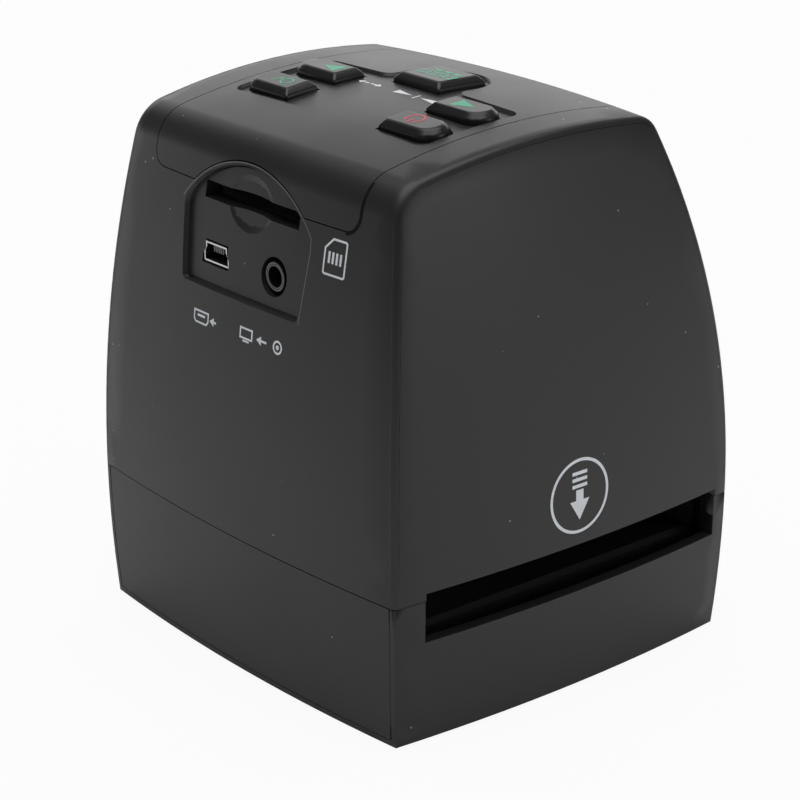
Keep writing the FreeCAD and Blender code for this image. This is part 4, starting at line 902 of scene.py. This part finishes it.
FINISHES = {
    "display_frame": INNER_BLACK_AND_SOCKET_SHADE, "display_module": TRAY_STEEL, "card_socket": TRAY_STEEL,
    "av_jack": GLOSS_BLACK, "rubber_feet": FOOT_RUBBER,
    "base_screws": SCREW_STEEL, "film_guide_lower": INNER_BLACK_AND_SOCKET_SHADE, "film_guide_upper": INNER_BLACK_AND_SOCKET_SHADE,
    "detent_plunger": WHITE_MOULDING, "diffuser": MILKY_SHEET,
    "light_box": WHITE_MOULDING, "backlight_board": BOARD_GREEN, "backlight_leds": LAMP_YELLOW,
    "camera_hood": INNER_BLACK_AND_SOCKET_SHADE, "lens_barrel": INNER_BLACK_AND_SOCKET_SHADE, "lens_elements": LENS_GLASS,
    "image_sensor": CHIP_BLACK, "sensor_board": BOARD_GREEN, "main_board": BOARD_GREEN,
    "keypad_board": BOARD_GREEN, "keypad_screws": SCREW_STEEL, "board_link": INNER_BLACK_AND_SOCKET_SHADE,
    "processor_chips": CHIP_BLACK, "board_screws": SCREW_STEEL, "switch_bodies": CHIP_BLACK,
    "display_ribbon": RIBBON_AMBER, "sensor_ribbon": RIBBON_AMBER, "backlight_ribbon": RIBBON_AMBER,
}
for key in KEYS:
    FINISHES[key + "_switch_plunger"] = CHIP_BLACK
for node, material in FINISHES.items():
    finish_in(frame["nodes"][node].data, material)


# The click stop's spring, which the stop presses short as it goes down; here a steel copy with a mesh of its
# own

spring = merged_copy("detent_spring")
finish_in(spring.data, SCREW_STEEL)
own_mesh(spring)


# Floor, lights and camera, with the stage's lengths in metres and its lamps in watts

ROOM_LIGHT = 0.115
FLOOR_HALF = 3.0
FLOOR_TONE = (0.92, 0.92, 0.92, 1)
FLOOR_WHITENESS = 0.93
WHITE = (1, 1, 1, 1)
FLAG_PLACE = (-0.62, 0.52, 0.42)
FLAG_HALF = 0.27
LIGHT_TARGET = (0, 0, 0.05)
CAMERA_AZIMUTH = 230.03
CAMERA_ELEVATION = 20.86
CAMERA_PLACE_MM = (-325.426, 275.585, 203.361)
SENSOR_WIDTH_MM = 36.0
FOCAL_LENGTH_MM = 114.977
NEAREST_SEEN = 0.01
FARTHEST_SEEN = 20.0


def plane(name, half, material):
    """A flat square stage sheet about the origin."""
    mesh = bpy.data.meshes.new(name)
    corners = [(-half, -half, 0), (half, -half, 0), (half, half, 0), (-half, half, 0)]
    mesh.from_pydata(corners, [], [(0, 1, 2, 3)])
    sheet = bpy.data.objects.new(name, mesh)
    bpy.context.scene.collection.objects.link(sheet)
    mesh.materials.append(material)
    return sheet


def floor_white():
    """A pale floor that the camera sees as white, with the object's shadow kept faint."""
    material = bpy.data.materials.new("white_floor")
    material.use_nodes = True
    tree = material.node_tree
    shader = tree.nodes["Principled BSDF"]
    shader.inputs["Base Color"].default_value = FLOOR_TONE
    shader.inputs["Roughness"].default_value = 0.9
    shader.inputs["Specular IOR Level"].default_value = 0.0
    glow = add(tree, "ShaderNodeEmission")
    paths = add(tree, "ShaderNodeLightPath")
    seen = maths(tree, "MAXIMUM", paths.outputs["Is Camera Ray"], paths.outputs["Is Transmission Ray"])
    blend = add(tree, "ShaderNodeMixShader")
    tree.links.new(maths(tree, "MULTIPLY", seen, FLOOR_WHITENESS), blend.inputs[0])
    tree.links.new(shader.outputs[0], blend.inputs[1])
    tree.links.new(glow.outputs[0], blend.inputs[2])
    tree.links.new(blend.outputs[0], tree.nodes["Material Output"].inputs["Surface"])
    return material


def studio_world():
    """A dim grey room that the camera sees as white."""
    world = bpy.data.worlds.new("studio")
    bpy.context.scene.world = world
    world.use_nodes = True
    tree = world.node_tree
    room = tree.nodes["Background"]
    room.inputs["Color"].default_value = WHITE
    room.inputs["Strength"].default_value = ROOM_LIGHT
    white = add(tree, "ShaderNodeBackground")
    white.inputs["Color"].default_value = WHITE
    paths = add(tree, "ShaderNodeLightPath")
    blend = add(tree, "ShaderNodeMixShader")
    tree.links.new(paths.outputs["Is Camera Ray"], blend.inputs[0])
    tree.links.new(room.outputs[0], blend.inputs[1])
    tree.links.new(white.outputs[0], blend.inputs[2])
    tree.links.new(blend.outputs[0], tree.nodes["World Output"].inputs["Surface"])


def soft_light(name, place, width, height, watts):
    """A rectangular softbox aimed at the middle of the object."""
    lamp = bpy.data.lights.new(name, "AREA")
    lamp.shape = "RECTANGLE"
    lamp.size = width
    lamp.size_y = height
    lamp.energy = watts
    holder = bpy.data.objects.new(name, lamp)
    holder.location = place
    holder.rotation_euler = (Vector(LIGHT_TARGET) - Vector(place)).to_track_quat("-Z", "Y").to_euler()
    holder.visible_camera = False
    bpy.context.scene.collection.objects.link(holder)


def dark_flag():
    """A black card behind the camera that keeps the room's light off the edges that face the camera."""
    material = moulded("black_card", (0.004, 0.004, 0.004), (0.006, 0.006, 0.006), (0.9, 0.95), specular=0.0)
    card = plane("dark_flag", FLAG_HALF, material)
    turn = Vector(FLAG_PLACE).to_track_quat("Z", "Y").to_matrix().to_4x4()
    turn.translation = Vector(FLAG_PLACE)
    card.data.transform(turn)
    card.visible_camera = False
    card.visible_shadow = False


def make_camera():
    """The camera of the photo, solved from the case's seams and edges."""
    azimuth, elevation = math.radians(CAMERA_AZIMUTH), math.radians(CAMERA_ELEVATION)
    back = Vector((math.sin(azimuth) * math.cos(elevation), -math.cos(azimuth) * math.cos(elevation),
                   math.sin(elevation)))
    lens = bpy.data.cameras.new("photo_camera")
    lens.sensor_width = SENSOR_WIDTH_MM
    lens.lens = FOCAL_LENGTH_MM
    lens.clip_start = NEAREST_SEEN
    lens.clip_end = FARTHEST_SEEN
    holder = bpy.data.objects.new("photo_camera", lens)
    holder.location = [length * MM for length in CAMERA_PLACE_MM]
    holder.rotation_euler = (-back).to_track_quat("-Z", "Y").to_euler()
    bpy.context.scene.collection.objects.link(holder)
    bpy.context.scene.camera = holder


plane("floor", FLOOR_HALF, floor_white())
studio_world()
soft_light("top_softbox", (-0.05, 0.05, 1.1), width=1.2, height=1.2, watts=9.2)
soft_light("back_wall", (0.86, -0.72, 0.42), width=1.5, height=0.7, watts=4.3)
soft_light("socket_side_panel", (0.95, 0.35, 0.06), width=0.9, height=0.1, watts=0.3)
soft_light("slot_side_panel", (-0.85, -0.38, 0.24), width=0.45, height=0.4, watts=0.9)
dark_flag()
make_camera()

bpy.context.scene.view_settings.view_transform = "Standard"
